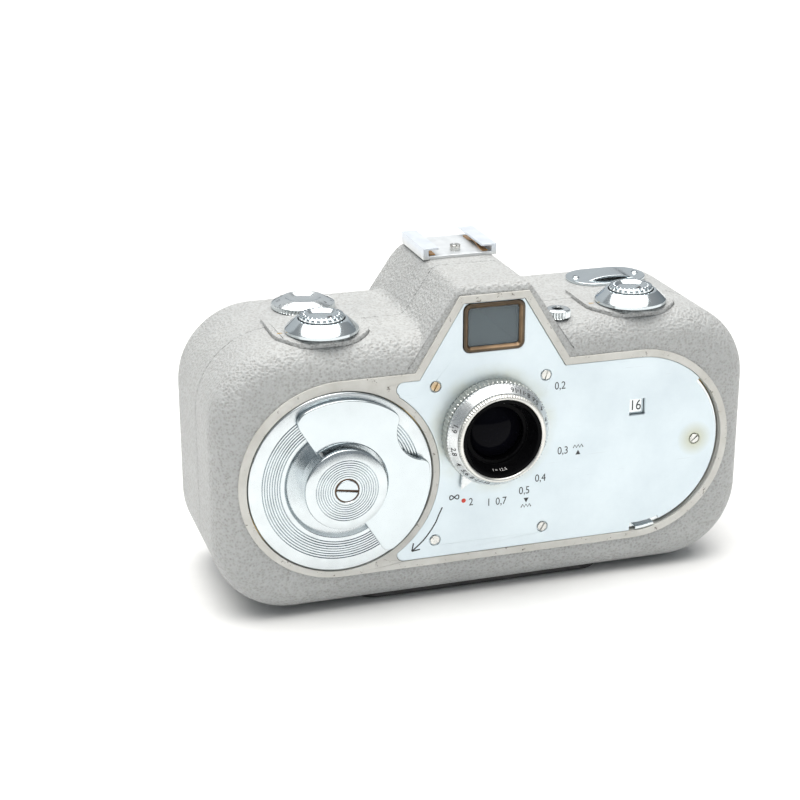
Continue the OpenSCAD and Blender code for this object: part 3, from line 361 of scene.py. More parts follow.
CHROME = (0.70, 0.74, 0.755)
STEEL = (0.62, 0.62, 0.62)
MATS = {
    "enamel": enamel(),
    "bezel": bezel_lacquer(),
    "plate": satin_plate(),
    "base": plain("base_paint", (0.085, 0.083, 0.08), 0.0, 0.5, 0.2, 900, 0.0001),
    "screw": nickel(),
    "brass": plain("turned_brass", (0.72, 0.55, 0.26), 1.0, 0.3, 0.12),
    "chrome": plain("chrome", CHROME, 1.0, 0.16, 0.04, 900, 0.000008, 0.05),
    "polished": plain("polished_chrome", (0.62, 0.675, 0.70), 1.0, 0.15, 0.03, 900, 0.000008, 0.05),
    "steel": plain("ground_steel", STEEL, 1.0, 0.28, 0.1),
    "shoe": shoe_steel(),
    "blue_steel": plain("blued_steel", (0.16, 0.18, 0.26), 1.0, 0.25, 0.15),
    "bronze": plain("spring_bronze", (0.70, 0.38, 0.15), 1.0, 0.3, 0.15),
    "black": plain("matt_black", (0.018, 0.018, 0.018), 0.0, 0.55, 0.25),
    "gloss_black": plain("gloss_black", (0.003, 0.003, 0.0035), 0.0, 0.3, 0.25, ior=1.12),
    "finder": plain("blackened_bronze", (0.10, 0.075, 0.05), 0.75, 0.38, 0.3),
    "gilt": plain("worn_bronze", (0.20, 0.135, 0.08), 0.8, 0.36, 0.3),
    "blue_ink": plain("blue_filling", (0.10, 0.16, 0.24), 0.0, 0.45, 0.2),
    "rust": plain("brown_grime", (0.11, 0.06, 0.03), 0.0, 0.6, 0.35),
    "ink": plain("black_filling", (0.03, 0.03, 0.032), 0.0, 0.5, 0.3),
    "red_ink": plain("red_filling", (0.72, 0.055, 0.03), 0.0, 0.4, 0.12),
    "white_ink": plain("white_filling", (0.78, 0.78, 0.76), 0.0, 0.5, 0.08),
    "gold_ink": plain("brass_filling", (0.50, 0.33, 0.12), 0.3, 0.45, 0.2),
    "disc": turned("disc_chrome", (0.65, 0.695, 0.715), 0.17, *DISC),
    "lens_metal": knurled("lens_chrome", (0.74, 0.765, 0.77), 0.27, []),
    # The focus and rim bands darken the knurls' valleys: painted shade.
    "focus_metal": knurled("focus_chrome", (0.70, 0.71, 0.68), 0.3, [(14.3, 15.0)]),
    "rim_metal": knurled("rim_chrome", (0.74, 0.735, 0.70), 0.3, [(12.4, 12.72)]),
    "window": glass("finder_glass", (0.16, 0.20, 0.22), 0.04, 1.45, 0.6),
    # The lens glass is opaque and near-black: painted shade for the dark inside of the lens seen through
    # clear glass.
    "shade_black_glass": glass("lens_glass", (0.003, 0.003, 0.005), 0.03, 1.12, 1.0),
}


# ------------------------------------------------------------------ mesh helpers

def put(name, mesh, material, body, replaces=(), sharp=32.0):
    """Adds a mesh as a piece that rides on a CAD body, smooth except at sharp edges."""
    mesh.materials.clear()
    mesh.materials.append(MATS[material])
    mesh.shade_smooth()
    mesh.set_sharp_from_angle(angle=math.radians(sharp))
    ob = bpy.data.objects.new(name, mesh)
    bpy.context.scene.collection.objects.link(ob)
    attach(ob, body)
    if replaces:
        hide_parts(*replaces)
    return ob


def bevel(ob, width):
    """Rounds a piece's sharp edges."""
    mod = ob.modifiers.new("edges", "BEVEL")
    mod.width = width * MM
    mod.segments = 2
    mod.limit_method = "ANGLE"
    mod.angle_limit = math.radians(30.0)
    mod.harden_normals = False
    mod.use_clamp_overlap = False


def mesh_from(name, verts, faces):
    """A mesh with its double points joined and its faces turned outwards."""
    me = bpy.data.meshes.new(name)
    me.from_pydata([tuple(v) for v in verts], [], faces)
    bm = bmesh.new()
    bm.from_mesh(me)
    bmesh.ops.remove_doubles(bm, verts=bm.verts, dist=1e-7)
    bmesh.ops.recalc_face_normals(bm, faces=bm.faces)
    bm.to_mesh(me)
    bm.free()
    return me


def lathe(name, profile, place, steps=128, wave=None):
    """A turned mesh from [(radius, height)]; place(x, y, height) puts its points in the row frame.

    A profile that doesn't reach the axis at either end is closed into a ring. wave(k, angle) gives how far
    profile point k moves outwards and upwards at that angle.
    """
    verts, rings = [], []
    for k, (r, h) in enumerate(profile):
        if r < 1e-6:
            rings.append([len(verts)])
            verts.append(place(0, 0, h))
            continue
        ring = []
        for i in range(steps):
            a = 2 * math.pi * i / steps
            dr, dh = wave(k, a) if wave else (0.0, 0.0)
            ring.append(len(verts))
            verts.append(place((r + dr) * math.cos(a), (r + dr) * math.sin(a), h + dh))
        rings.append(ring)
    pairs = list(zip(rings, rings[1:]))
    if len(rings[0]) > 1 and len(rings[-1]) > 1:
        pairs.append((rings[-1], rings[0]))
    faces = []
    for a, b in pairs:
        for i in range(steps):
            j = (i + 1) % steps
            if len(a) == 1 and len(b) > 1:
                faces.append((a[0], b[j], b[i]))
            elif len(b) == 1 and len(a) > 1:
                faces.append((a[i], a[j], b[0]))
            elif len(a) > 1:
                faces.append((a[i], a[j], b[j], b[i]))
    return mesh_from(name, verts, faces)


def front_axis(x, z):
    """Puts points about a front-to-back axis, heights counted forward from the bezel's face."""
    return lambda u, v, h: at(x + u, -h, z + v)


def up_axis(x, d, base):
    """Puts points about an upright axis, heights counted up from base."""
    return lambda u, v, h: at(x + u, d - v, base + h)


def shape(name, loops, low, high, place, rim=0.0, segments=2):
    """A flat plate with holes, its edges rounded: closed loops of (x, y), between two heights."""
    cu = bpy.data.curves.new(name, "CURVE")
    cu.dimensions = "2D"
    cu.fill_mode = "BOTH"
    cu.extrude = (high - low) / 2 - rim
    cu.bevel_depth = rim
    cu.bevel_resolution = segments
    cu.offset = -rim
    for loop in loops:
        sp = cu.splines.new("POLY")
        sp.points.add(len(loop) - 1)
        for p, q in zip(sp.points, loop):
            p.co = (q[0], q[1], 0, 1)
        sp.use_cyclic_u = True
    ob = bpy.data.objects.new(name, cu)
    bpy.context.scene.collection.objects.link(ob)
    bpy.context.view_layer.update()
    me = bpy.data.meshes.new_from_object(ob.evaluated_get(bpy.context.evaluated_depsgraph_get()))
    bpy.data.objects.remove(ob)
    bpy.data.curves.remove(cu)
    mid = (low + high) / 2
    points = [place(v.co.x, v.co.y, v.co.z + mid) for v in me.vertices]
    for v, p in zip(me.vertices, points):
        v.co = p
    bm = bmesh.new()
    bm.from_mesh(me)
    bmesh.ops.remove_doubles(bm, verts=bm.verts, dist=1e-6)
    bmesh.ops.recalc_face_normals(bm, faces=bm.faces)
    bm.to_mesh(me)
    bm.free()
    return me


def letters(text, size, place, thick=0.04, wide=1.0, bold=0.0):
    """Figures as thin solids; place(x, y, height) puts them in the row frame."""
    cu = bpy.data.curves.new("figures", "FONT")
    cu.body = text
    cu.size = size
    cu.align_x = "CENTER"
    cu.align_y = "CENTER"
    cu.extrude = thick / 2
    cu.offset = bold
    cu.resolution_u = 4
    ob = bpy.data.objects.new("figures", cu)
    bpy.context.scene.collection.objects.link(ob)
    bpy.context.view_layer.update()
    me = bpy.data.meshes.new_from_object(ob.evaluated_get(bpy.context.evaluated_depsgraph_get()))
    bpy.data.objects.remove(ob)
    bpy.data.curves.remove(cu)
    points = [place(v.co.x * wide, v.co.y, v.co.z) for v in me.vertices]
    for v, p in zip(me.vertices, points):
        v.co = p
    return me


def merged(name, meshes):
    """Several meshes as one."""
    bm = bmesh.new()
    for me in meshes:
        bm.from_mesh(me)
    bmesh.ops.remove_doubles(bm, verts=bm.verts, dist=1e-7)
    bmesh.ops.recalc_face_normals(bm, faces=bm.faces)
    out = bpy.data.meshes.new(name)
    bm.to_mesh(out)
    bm.free()
    return out


def ribbon(points, half):
    """Outline of a stroke of even width along a row of points."""
    left, right = [], []
    for i, p in enumerate(points):
        a = points[max(0, i - 1)]
        b = points[min(len(points) - 1, i + 1)]
        dx, dy = b[0] - a[0], b[1] - a[1]
        n = math.hypot(dx, dy) or 1.0
        left.append((p[0] - dy / n * half, p[1] + dx / n * half))
        right.append((p[0] + dy / n * half, p[1] - dx / n * half))
    return left + right[::-1]


def polar(cx, cz, r, degrees):
    """The point at radius r and the given angle from (cx, cz)."""
    a = math.radians(degrees)
    return (cx + r * math.cos(a), cz + r * math.sin(a))


def arc(cx, cz, r, a0, a1, steps):
    """Points along an arc from angle a0 to a1."""
    return [polar(cx, cz, r, a0 + (a1 - a0) * i / steps) for i in range(steps + 1)]


def rounded(points, radii, steps=8):
    """A closed loop with its corners rounded."""
    out = []
    n = len(points)
    for i, p in enumerate(points):
        r = radii[i] if hasattr(radii, "__len__") else radii
        a, b = Vector(points[i - 1]), Vector(points[(i + 1) % n])
        c = Vector(p)
        u, v = (a - c), (b - c)
        if r <= 0 or u.length < 1e-9 or v.length < 1e-9:
            out.append(tuple(c))
            continue
        u.normalize()
        v.normalize()
        half = math.acos(max(-1.0, min(1.0, u.dot(v)))) / 2
        if half > math.pi / 2 - 1e-3:
            out.append(tuple(c))
            continue
        reach = r / math.tan(half)
        centre = c + (u + v).normalized() * (r / math.sin(half))
        start, end = c + u * reach - centre, c + v * reach - centre
        a0, a1 = math.atan2(start.y, start.x), math.atan2(end.y, end.x)
        while a1 - a0 > math.pi:
            a1 -= 2 * math.pi
        while a1 - a0 < -math.pi:
            a1 += 2 * math.pi
        out += [(centre.x + r * math.cos(a0 + (a1 - a0) * k / steps),
                 centre.y + r * math.sin(a0 + (a1 - a0) * k / steps)) for k in range(steps + 1)]
    return out


def rect(cx, cz, w, h, r):
    """A rectangle about (cx, cz) with corners of radius r."""
    left, right, low, high = cx - w / 2, cx + w / 2, cz - h / 2, cz + h / 2
    return rounded([(left, low), (right, low), (right, high), (left, high)], r)


def refine(node, material, rim, planar=False):
    """A CAD node carried over with its edges rounded and its flat faces kept flat in the shading.

    planar joins the triangles of each flat face, for a broad panel with small holes.
    """
    me = frame["nodes"][node].data.copy()
    bm = bmesh.new()
    bm.from_mesh(me)
    bmesh.ops.remove_doubles(bm, verts=bm.verts, dist=2e-6)
    if planar:
        bmesh.ops.dissolve_limit(bm, angle_limit=0.002, verts=bm.verts, edges=bm.edges)
    bm.to_mesh(me)
    bm.free()
    while me.attributes.get("custom_normal"):
        me.attributes.remove(me.attributes["custom_normal"])
    body = frame["nodes"][node]["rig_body"]
    ob = put(node + "_fine", me, material, body, (node,), 30.0)
    bevel(ob, rim)
    flat = ob.modifiers.new("flat_faces", "WEIGHTED_NORMAL")
    flat.keep_sharp = True
    flat.weight = 80


# ------------------------------------------------------------------ surroundings

def lamp(name, size, power, place, target, color=(1, 1, 1)):
    data = bpy.data.lights.new(name, "AREA")
    data.shape = "RECTANGLE"
    data.size, data.size_y = size
    data.energy = power
    data.color = color
    ob = bpy.data.objects.new(name, data)
    bpy.context.scene.collection.objects.link(ob)
    ob.matrix_world = aim(Vector(place), Vector(target), 0)


lamp("key", (1.1, 0.8), 7.3, (-0.18, -0.1, 1.3), (0, 0, 0.05), (1.0, 0.985, 0.955))
lamp("front_fill", (1.6, 0.8), 0.45, (-0.2, -1.5, 0.7), (0, 0, 0.04), (0.90, 0.96, 1.0))
lamp("back_light", (2.6, 1.1), 3.2, (0.1, 1.4, 0.75), (0, 0, 0.05))
sky = bpy.data.lights.new("sky_light", "SUN")
sky.energy = 3.35
sky.angle = math.radians(75)
sky.color = (1.0, 0.985, 0.96)
sky_ob = bpy.data.objects.new("sky_light", sky)
bpy.context.scene.collection.objects.link(sky_ob)
sky_ob.matrix_world = aim(Vector((-0.02, 0.05, 1.2)), Vector((0, 0, 0)), 0)

world = bpy.data.worlds.new("studio")
world.use_nodes = True
dome = world.node_tree
split = dome.nodes.new("ShaderNodeSeparateXYZ")
dome.links.new(dome.nodes.new("ShaderNodeTexCoord").outputs["Generated"], split.inputs[0])
fade = dome.nodes.new("ShaderNodeValToRGB")
stops = [(0.0, (0.34, 0.37, 0.40)), (0.25, (0.62, 0.68, 0.73)), (0.9, (1.0, 1.0, 1.0))]
while len(fade.color_ramp.elements) < len(stops):
    fade.color_ramp.elements.new(0.5)
for element, (place, color) in zip(fade.color_ramp.elements, stops):
    element.position = place
    element.color = (*color, 1.0)
dome.links.new(split.outputs[2], fade.inputs[0])
dome.links.new(fade.outputs[0], dome.nodes["Background"].inputs["Color"])
dome.nodes["Background"].inputs["Strength"].default_value = 0.42
bpy.context.scene.world = world
bpy.context.scene.view_settings.view_transform = "Standard"
bpy.context.scene.view_settings.look = "None"

FLOOR_GAP = 0.0002
floor_mat = plain("floor_paper", (0.83, 0.83, 0.825), 0.0, 0.7, 0.012, 300, 0.00004)
floor_mesh = bpy.data.meshes.new("floor")
bm = bmesh.new()
bmesh.ops.create_grid(bm, x_segments=16, y_segments=16, size=16.0)
bm.to_mesh(floor_mesh)
bm.free()
floor_mesh.materials.append(floor_mat)
floor_ob = bpy.data.objects.new("floor", floor_mesh)
bpy.context.scene.collection.objects.link(floor_ob)
floor_ob.location.z = cad_low[2] - FLOOR_GAP


# ------------------------------------------------------------------ body, finder, shoe and back

refine("front_shell", "enamel", 0.2)
refine("rear_shell", "enamel", 0.2)
refine("front_bezel", "bezel", 0.12)
refine("front_plate", "plate", 0.1)
refine("plate_screws", "screw", 0.08)
refine("base_plate", "base", 0.25)
refine("base_screws", "screw", 0.08)
refine("tripod_bush", "chrome", 0.15)
refine("back_door", "enamel", 0.2, planar=True)
refine("door_hinge_pin", "chrome", 0.1)
refine("door_latch", "chrome", 0.18)
refine("handle_pins", "steel", 0.08)
refine("speed_dial", "chrome", 0.06)
refine("finder_tunnel", "black", 0.1)
refine("eyepiece", "gloss_black", 0.2)
refine("accessory_shoe", "shoe", 0.12)
refine("shoe_springs", "bronze", 0.05)
refine("shoe_stop_screw", "screw", 0.08)
refine("strap_lug", "polished", 0.15)
refine("lens_mount", "black", 0.1)
refine("lens_cell", "gloss_black", 0.08)

INSIDE = {
    "winding_arbor": "steel", "click_pawl": "steel", "spring_barrel": "brass",
    "mainspring": "blue_steel", "intermediate_gear": "brass", "idler_gear": "brass", "takeup_gear": "brass",
    "takeup_spool": "black", "supply_spindle": "steel", "shutter_disc": "black", "shutter_arbor": "steel",
    "governor": "brass", "claw": "steel", "film_gate": "steel", "pressure_plate": "steel",
    "chassis_plate": "brass", "movement_bridge": "brass", "chassis_posts": "steel",
    "iris_blades": "blue_steel", "rear_element": "shade_black_glass", "finder_glass": "window",
    "eyepiece_glass": "window",
}
for node, key in INSIDE.items():
    mesh = frame["nodes"][node].data
    mesh.materials.clear()
    mesh.materials.append(MATS[key])


# ------------------------------------------------------------------ winding disc and handle

flat_front = front_axis(0, 0)
disc_place = front_axis(*DISC)
profile = [(3.9, -2.6), (25.6, -2.6), (26.0, -2.2), (26.0, -0.55), (25.92, -0.25), (25.7, -0.05),
           (25.4, 0.02), (22.5, 0.2)]
for k in range(8):
    r = 22.35 - 0.7 * k
    profile += [(r, 0.2), (r - 0.08, -0.24), (r - 0.18, -0.32), (r - 0.28, -0.24), (r - 0.36, 0.2)]
profile += [(16.1, 0.2), (15.95, 0.16), (15.8, 0.04), (15.35, -0.5), (15.1, -0.72), (14.7, -0.82),
            (11.9, -0.9), (3.9, -0.9)]
put("disc_turned", lathe("disc_turned", profile, disc_place, 192), "disc", "winder",
    ("winding_disc",), 24)

profile = [(3.1, -0.85), (11.1, -0.85), (11.6, 4.55), (11.58, 4.9), (11.4, 5.25), (11.05, 5.45),
           (8.95, 5.85)]
for k in range(8):
    r = 8.8 - 0.64 * k
    profile += [(r, 5.85), (r - 0.1, 5.62), (r - 0.16, 5.58), (r - 0.22, 5.62), (r - 0.32, 5.85)]
profile += [(3.55, 5.85), (3.44, 5.75), (3.35, 4.5), (3.1, 4.4)]
put("hub_turned", lathe("hub_turned", profile, disc_place, 160), "disc", "winder",
    ("winding_hub",), 24)


def spun(points, x, z, degrees):
    """Turns points about the origin and moves them to (x, z)."""
    t = math.radians(degrees)
    c, s = math.cos(t), math.sin(t)
    return [(x + p[0] * c - p[1] * s, z + p[0] * s + p[1] * c) for p in points]


def hub_screw():
    """The hub's cheese-head screw, its slot cut through the rim and grimed like the gap round it."""
    r, low, high = 3.05, 4.45, 6.0
    floor_h, half = 5.35, 0.29
    a = math.degrees(math.asin(half / r))
    parts = []
    for side in (0, 180):
        loop = spun(arc(0, 0, r, side + a, side + 180 - a, 40), *DISC, SLOT_TURN)
        parts.append(shape("hub_screw_turned", [loop], floor_h, high, flat_front, 0.2))
    profile = [(0, low), (r, low), (r, floor_h + 0.05), (0, floor_h + 0.05)]
    parts.append(lathe("hub_screw_turned", profile, disc_place, 64))
    gap = lathe("hub_grime", [(3.07, 4.5), (3.34, 4.5), (3.42, 5.68), (3.07, 5.68)], disc_place, 96)
    bar = spun(rect(0, 0, 5.9, 0.54, 0.05), *DISC, SLOT_TURN)
    slot_fill = shape("slot", [bar], floor_h, 5.55, flat_front)
    put("hub_grime", merged("hub_grime", [gap, slot_fill]), "rust", "winder")
    put("hub_screw_turned", merged("hub_screw_turned", parts), "polished", "winder",
        ("hub_screw",))


hub_screw()


def soften(loop, corners):
    """Rounds the loop's corners nearest the given points, each over its own length along the loop."""
    loop = list(loop)
    for corner, reach in corners:
        k = min(range(len(loop)), key=lambda i: math.dist(loop[i], corner))
        loop = loop[k:] + loop[:k]
        tip = loop[0]

        def walk(path):
            left, last = reach, tip
            for i, p in enumerate(path):
                step = math.dist(last, p)
                if step >= left:
                    f = left / step
                    return i, (last[0] + (p[0] - last[0]) * f, last[1] + (p[1] - last[1]) * f)
                left -= step
                last = p

        i, after = walk(loop[1:])
        j, before = walk(loop[:0:-1])
        curve = []
        for s in range(13):
            f = s / 12
            a, b, c = (1 - f) ** 2, 2 * f * (1 - f), f * f
            curve.append(tuple(a * before[m] + b * tip[m] + c * after[m] for m in (0, 1)))
        loop = curve + loop[1 + i:len(loop) - j]
    return loop


def handle_loop():
    """The half ring, from the hinge line round the outside, in at the finger cut, and back inside."""
    outer, inner = 24.6, 12.42
    low_end, high_end = -58.5, 121.5      # directions of the hinge line's two ends
    edge = 1.08                           # how far the straight edges run past the hinge line
    cut, reach, cut_at = 8.62, 27.4, 30   # the finger cut's radius, and where its middle lies
    lo = math.degrees(math.asin(edge / outer))
    li = math.degrees(math.asin(edge / inner))
    span = math.degrees(math.acos((reach ** 2 + outer ** 2 - cut ** 2) / (2 * reach * outer)))
    cx, cz = polar(0, 0, reach, cut_at)
    first = polar(0, 0, outer, cut_at - span)
    last = polar(0, 0, outer, cut_at + span)
    a0 = math.degrees(math.atan2(first[1] - cz, first[0] - cx)) % 360
    a1 = math.degrees(math.atan2(last[1] - cz, last[0] - cx)) % 360
    loop = arc(0, 0, outer, low_end - lo, cut_at - span, 60)
    loop += arc(cx, cz, cut, a0, a1, 40)[1:-1]
    loop += arc(0, 0, outer, cut_at + span, high_end + lo, 70)
    loop += arc(0, 0, inner, high_end + li, low_end - li, 110)
    near = polar(0, 0, outer, low_end - lo)
    far = polar(0, 0, outer, high_end + lo)
    root = polar(0, 0, inner, low_end - li)
    loop = soften(loop, [(near, 2.6), (far, 4.2), (first, 2.2), (last, 2.6), (root, 0.8)])
    return [(DISC[0] + p[0], DISC[1] + p[1]) for p in loop]


handle = shape("handle_plate", [handle_loop()], 1.0, 2.7, flat_front, 0.32, 3)
put("handle_plate", handle, "polished", "handle", ("winding_handle",), 30)


# ------------------------------------------------------------------ lens

def knurl(rows, count, depth, power=1.0):
    """A wave for lathe: count grooves across the given profile points."""
    return lambda k, a: (-depth * (0.5 - 0.5 * math.cos(count * a)) ** power if k in rows else 0.0, 0.0)


def on_cone(place, cone, degrees):
    """Puts figures on a cone between (r0, h0) and (r1, h1), their tops towards the second."""
    r0, h0, r1, h1 = cone
    rm, hm = (r0 + r1) / 2, (h0 + h1) / 2
    n = math.hypot(r1 - r0, h1 - h0)
    sr, sh = (r1 - r0) / n, (h1 - h0) / n
    t0 = math.radians(degrees)

    def spot(x, y, h):
        t = t0 + x / rm
        r = rm + y * sr + h * abs(sh)
        return place(r * math.cos(t), r * math.sin(t), hm + y * sh + h * abs(sr))

    return spot


lens_place = front_axis(*LENS)
profile = [(12.02, -1.3), (13.2, -1.3), (13.2, 0.1), (14.7, 0.1), (15.15, 0.35), (15.15, 3.1), (14.8, 3.4),
           (12.02, 3.4)]
put("focus_ring_knurled", lathe("focus_ring_knurled", profile, lens_place, 576, knurl((4, 5), 72, 0.55, 0.6)),
    "focus_metal", "focus", ("focus_ring",), 24)

loop = spun(rounded([(14.5, -2.15), (19.15, 0), (14.5, 2.15)], [0, 0.2, 0]), *LENS, -120)
put("focus_pointer_rod", shape("focus_pointer_rod", [loop], 0.32, 1.18, flat_front, 0.12),
    "lens_metal", "focus", ("focus_pointer",))

profile = [(10.65, 3.72), (14.6, 3.72), (14.9, 3.95), (14.9, 4.45), (14.55, 4.69), (14.45, 4.8), (12.98, 7.0),
           (12.9, 7.07), (12.75, 7.12), (11.3, 7.12), (11.3, 6.1), (10.65, 6.1)]
put("aperture_ring_turned", lathe("aperture_ring_turned", profile, lens_place, 576, knurl((2, 3), 96, 0.2)),
    "lens_metal", "aperture", ("aperture_ring",), 24)

# Each f-number and how far round the ring it lies from the first one, in degrees.
STOPS = [("1,9", 0), ("2,8", 28.5), ("4", 46), ("5,6", 59.5), ("8", 70.5), ("11", 80), ("16", 90.5)]
APERTURE_CONE = (14.5, 4.72, 12.95, 7.05)
marks = []
for start in (163.5, -16.5):
    for text, step in STOPS:
        marks.append(letters(text, 2.35, on_cone(lens_place, APERTURE_CONE, start + step), 0.06, 0.9, 0.03))
    for step in (75.5, 85.5):
        spot = on_cone(lens_place, APERTURE_CONE, start + step)
        marks.append(shape("dot", [arc(0, 0, 0.2, 0, 330, 11)], 0.0, PRINT, spot))
put("aperture_figures", merged("aperture_figures", marks), "ink", "aperture")

profile = [(10.62, 6.42), (10.62, 7.5), (11.4, 7.62), (11.4, 8.2), (11.6, 8.4), (11.9, 8.5), (12.3, 8.42),
           (12.62, 8.2), (12.8, 7.9), (12.8, 7.42), (11.2, 7.42), (11.2, 6.42)]
put("lens_rim_knurled", lathe("lens_rim_knurled", profile, lens_place, 600, knurl((7, 8), 100, 0.22)),
    "rim_metal", "lens_cell", ("lens_rim",), 24)
profile = [(11.35, 7.76), (11.35, 8.0), (10.75, 8.0), (10.4, 7.75), (9.05, 4.1), (8.9, 3.92), (8.8, 3.9),
           (8.8, 3.42), (10.55, 3.42), (10.55, 7.52)]
put("name_ring_turned", lathe("name_ring_turned", profile, lens_place, 160), "gloss_black", "lens_cell",
    ("name_ring",), 24)
marks = []
for text, degrees in (("1:1,9", 90), ("f = 12,5", -90)):
    marks.append(letters(text, 1.5, on_cone(lens_place, (10.3, 7.5, 9.2, 4.5), degrees), 0.02, 0.9))
put("lens_figures", merged("lens_figures", marks), "white_ink", "lens_cell")


def ball_face(r, edge, rise, steps=10):
    """Profile points of a shallow dome from its middle out to radius r, its rim at height edge."""
    big = (r * r + rise * rise) / (2 * rise)
    out = [r * k / steps for k in range(steps + 1)]
    return [(x, edge + rise - big + math.sqrt(big * big - x ** 2)) for x in out]


# The front element takes the opaque near-black glass: painted shade for the dark inside of the lens.
profile = ball_face(7.6, 1.4, 1.98) + [(7.68, 1.3), (7.68, 0.55), (7.6, 0.5), (0, 0.5)]
put("front_lens", lathe("front_lens", profile, lens_place, 128), "shade_black_glass", "lens_cell",
    ("front_element",), 40)


# ------------------------------------------------------------------ marks on the front plate

def on_plate(cx, cz, thick=PRINT):
    """Puts figures on the plate about (cx, cz)."""
    return lambda x, y, h: at(cx + x, PLATE_FACE - thick / 2 - h, cz + y)


def stroke(points, half):
    """A printed line on the plate, 2 * half wide."""
    return shape("stroke", [ribbon(points, half)], 0, PRINT, on_plate(0, 0, 0.0))


def zigzag(cx, cz, w):
    """The wavy rule that runs beside a wedge."""
    return stroke([(cx - w / 2 + w * k / 6, cz + (0.45 if k % 2 else -0.45)) for k in range(7)], 0.14)


def wedge(cx, cz, up):
    """A small triangle pointing up (up = 1) or down (up = -1)."""
    pts = [(cx - 0.75, cz - 0.65 * up), (cx + 0.75, cz - 0.65 * up), (cx, cz + 0.75 * up)]
    return shape("wedge", [pts], 0, PRINT, on_plate(0, 0, 0.0))


# Each distance in metres, its angle about the lens and its radius.
DISTANCES = [("2", -106, 22), ("1", -92, 22), ("0,7", -82.5, 22.2), ("0,5", -63.5, 22), ("0,4", -48.5, 22),
             ("0,3", -23, 23), ("0,2", 28, 22.4)]
marks = []
for text, degrees, r in DISTANCES:
    marks.append(letters(text, 3.2, on_plate(*polar(*LENS, r, degrees)), PRINT, 0.86))
x, z = polar(*LENS, 22, -120)
turns = [2 * math.pi * k / 48 for k in range(49)]
endless = [(x + 1.35 * math.sin(t), z + 0.62 * math.sin(2 * t)) for t in turns]
marks += [stroke([a, b], 0.16) for a, b in zip(endless, endless[1:])]
x, z = polar(*LENS, 23, -23)
marks += [zigzag(x + 4.6, z + 0.9, 3.0), wedge(x + 4.6, z - 1.0, 1)]
x, z = polar(*LENS, 22, -63.5)
marks += [wedge(x + 0.6, z - 2.9, -1), zigzag(x + 0.6, z - 4.6, 3.0)]
ARROW_TIP = (-23.4, -23.8)   # of the arrow that shows which way to wind
bow = [(-14.5, -11.6), (-15.5, -13.7), (-16.3, -15.7), (-17.5, -17.7), (-18.9, -19.6), (-20.0, -20.9),
       (-21.2, -22.0), (-22.4, -23.0)]
marks.append(stroke(bow + [ARROW_TIP], 0.19))
for barb in ((-21.0, -23.5), (-22.9, -21.4)):
    marks.append(stroke([ARROW_TIP, barb], 0.19))
put("plate_figures", merged("plate_figures", marks), "ink", "camera")
x, z = polar(*LENS, 22, -112)
red = shape("red_dot", [arc(x, z, 0.65, 0, 350, 35)], 0, 0.04, on_plate(0, 0, 0.0), 0.01)
put("red_dot", red, "red_ink", "camera")


def on_dial(degrees):
    """Puts a figure near the rate dial's edge, the dial turned by the given angle."""
    t = math.radians(degrees)
    c, s = math.cos(t), math.sin(t)
    edge = 11.6

    def spot(x, y, h):
        return at(DIAL[0] + x * c - (y + edge) * s, DIAL_FACE - h, DIAL[1] + x * s + (y + edge) * c)

    return spot


RATES = [("16", 0), ("24", -24), ("32", -48), ("64", -72)]
marks = [letters(text, 4.3, on_dial(degrees), PRINT, 0.85) for text, degrees in RATES]
put("rate_figures", merged("rate_figures", marks), "ink", "speed_dial")


# ------------------------------------------------------------------ finder frame

def loft(name, loops):
    """A skin over a row of closed loops of row-frame points, joined back to the first one."""
    n = len(loops[0])
    verts = [p for loop in loops for p in loop]
    rows = len(loops)
    faces = []
    for i in range(rows):
        j = (i + 1) % rows
        for k in range(n):
            m = (k + 1) % n
            faces.append((i * n + k, i * n + m, j * n + m, j * n + k))
    return mesh_from(name, verts, faces)


def finder_loop(w, h, r, d):
    """A rounded rectangle about the finder's axis, at depth d."""
    return [at(p[0], d, p[1]) for p in rect(*FINDER, w, h, r)]


# Loops of the frame's cross-section: width, height, corner radius and depth.
SURROUND = [(17.48, 13.68, 2.0, 2.0), (17.48, 13.68, 2.0, 0.0), (17.3, 13.5, 1.9, -0.14),
            (16.95, 13.15, 1.8, -0.2), (16.5, 12.7, 1.6, -0.2), (16.2, 12.4, 1.5, -0.1),
            (15.1, 11.3, 1.05, 0.55), (15.0, 11.2, 1.0, 0.7), (15.0, 11.2, 1.0, 2.0)]
LINING = [(16.16, 12.36, 1.48, -0.09), (15.16, 11.36, 1.08, 0.5), (15.04, 11.24, 1.02, 0.62),
          (14.6, 10.8, 0.85, 0.62), (14.7, 10.9, 0.9, 0.5), (15.8, 12.0, 1.3, -0.13)]
put("finder_surround", loft("finder_surround", [finder_loop(*loop) for loop in SURROUND]),
    "finder", "camera", ("finder_frame",))
put("finder_lining", loft("finder_lining", [finder_loop(*loop) for loop in LINING]), "gilt", "camera")


# ------------------------------------------------------------------ top controls

SKIRT_CONE = (9.9, 1.25, 7.35, 3.52)
# How deep the crown's notches are at each of its profile's points.
NOTCHES = {8: 0.25, 9: 0.5, 10: 0.62, 11: 0.66, 12: 0.6, 13: 0.45, 14: 0.2}


def notch(k, a):
    """The crown's wave for lathe."""
    return (0.0, -NOTCHES.get(k, 0.0) * max(0.0, math.cos(24 * a)) ** 0.6)


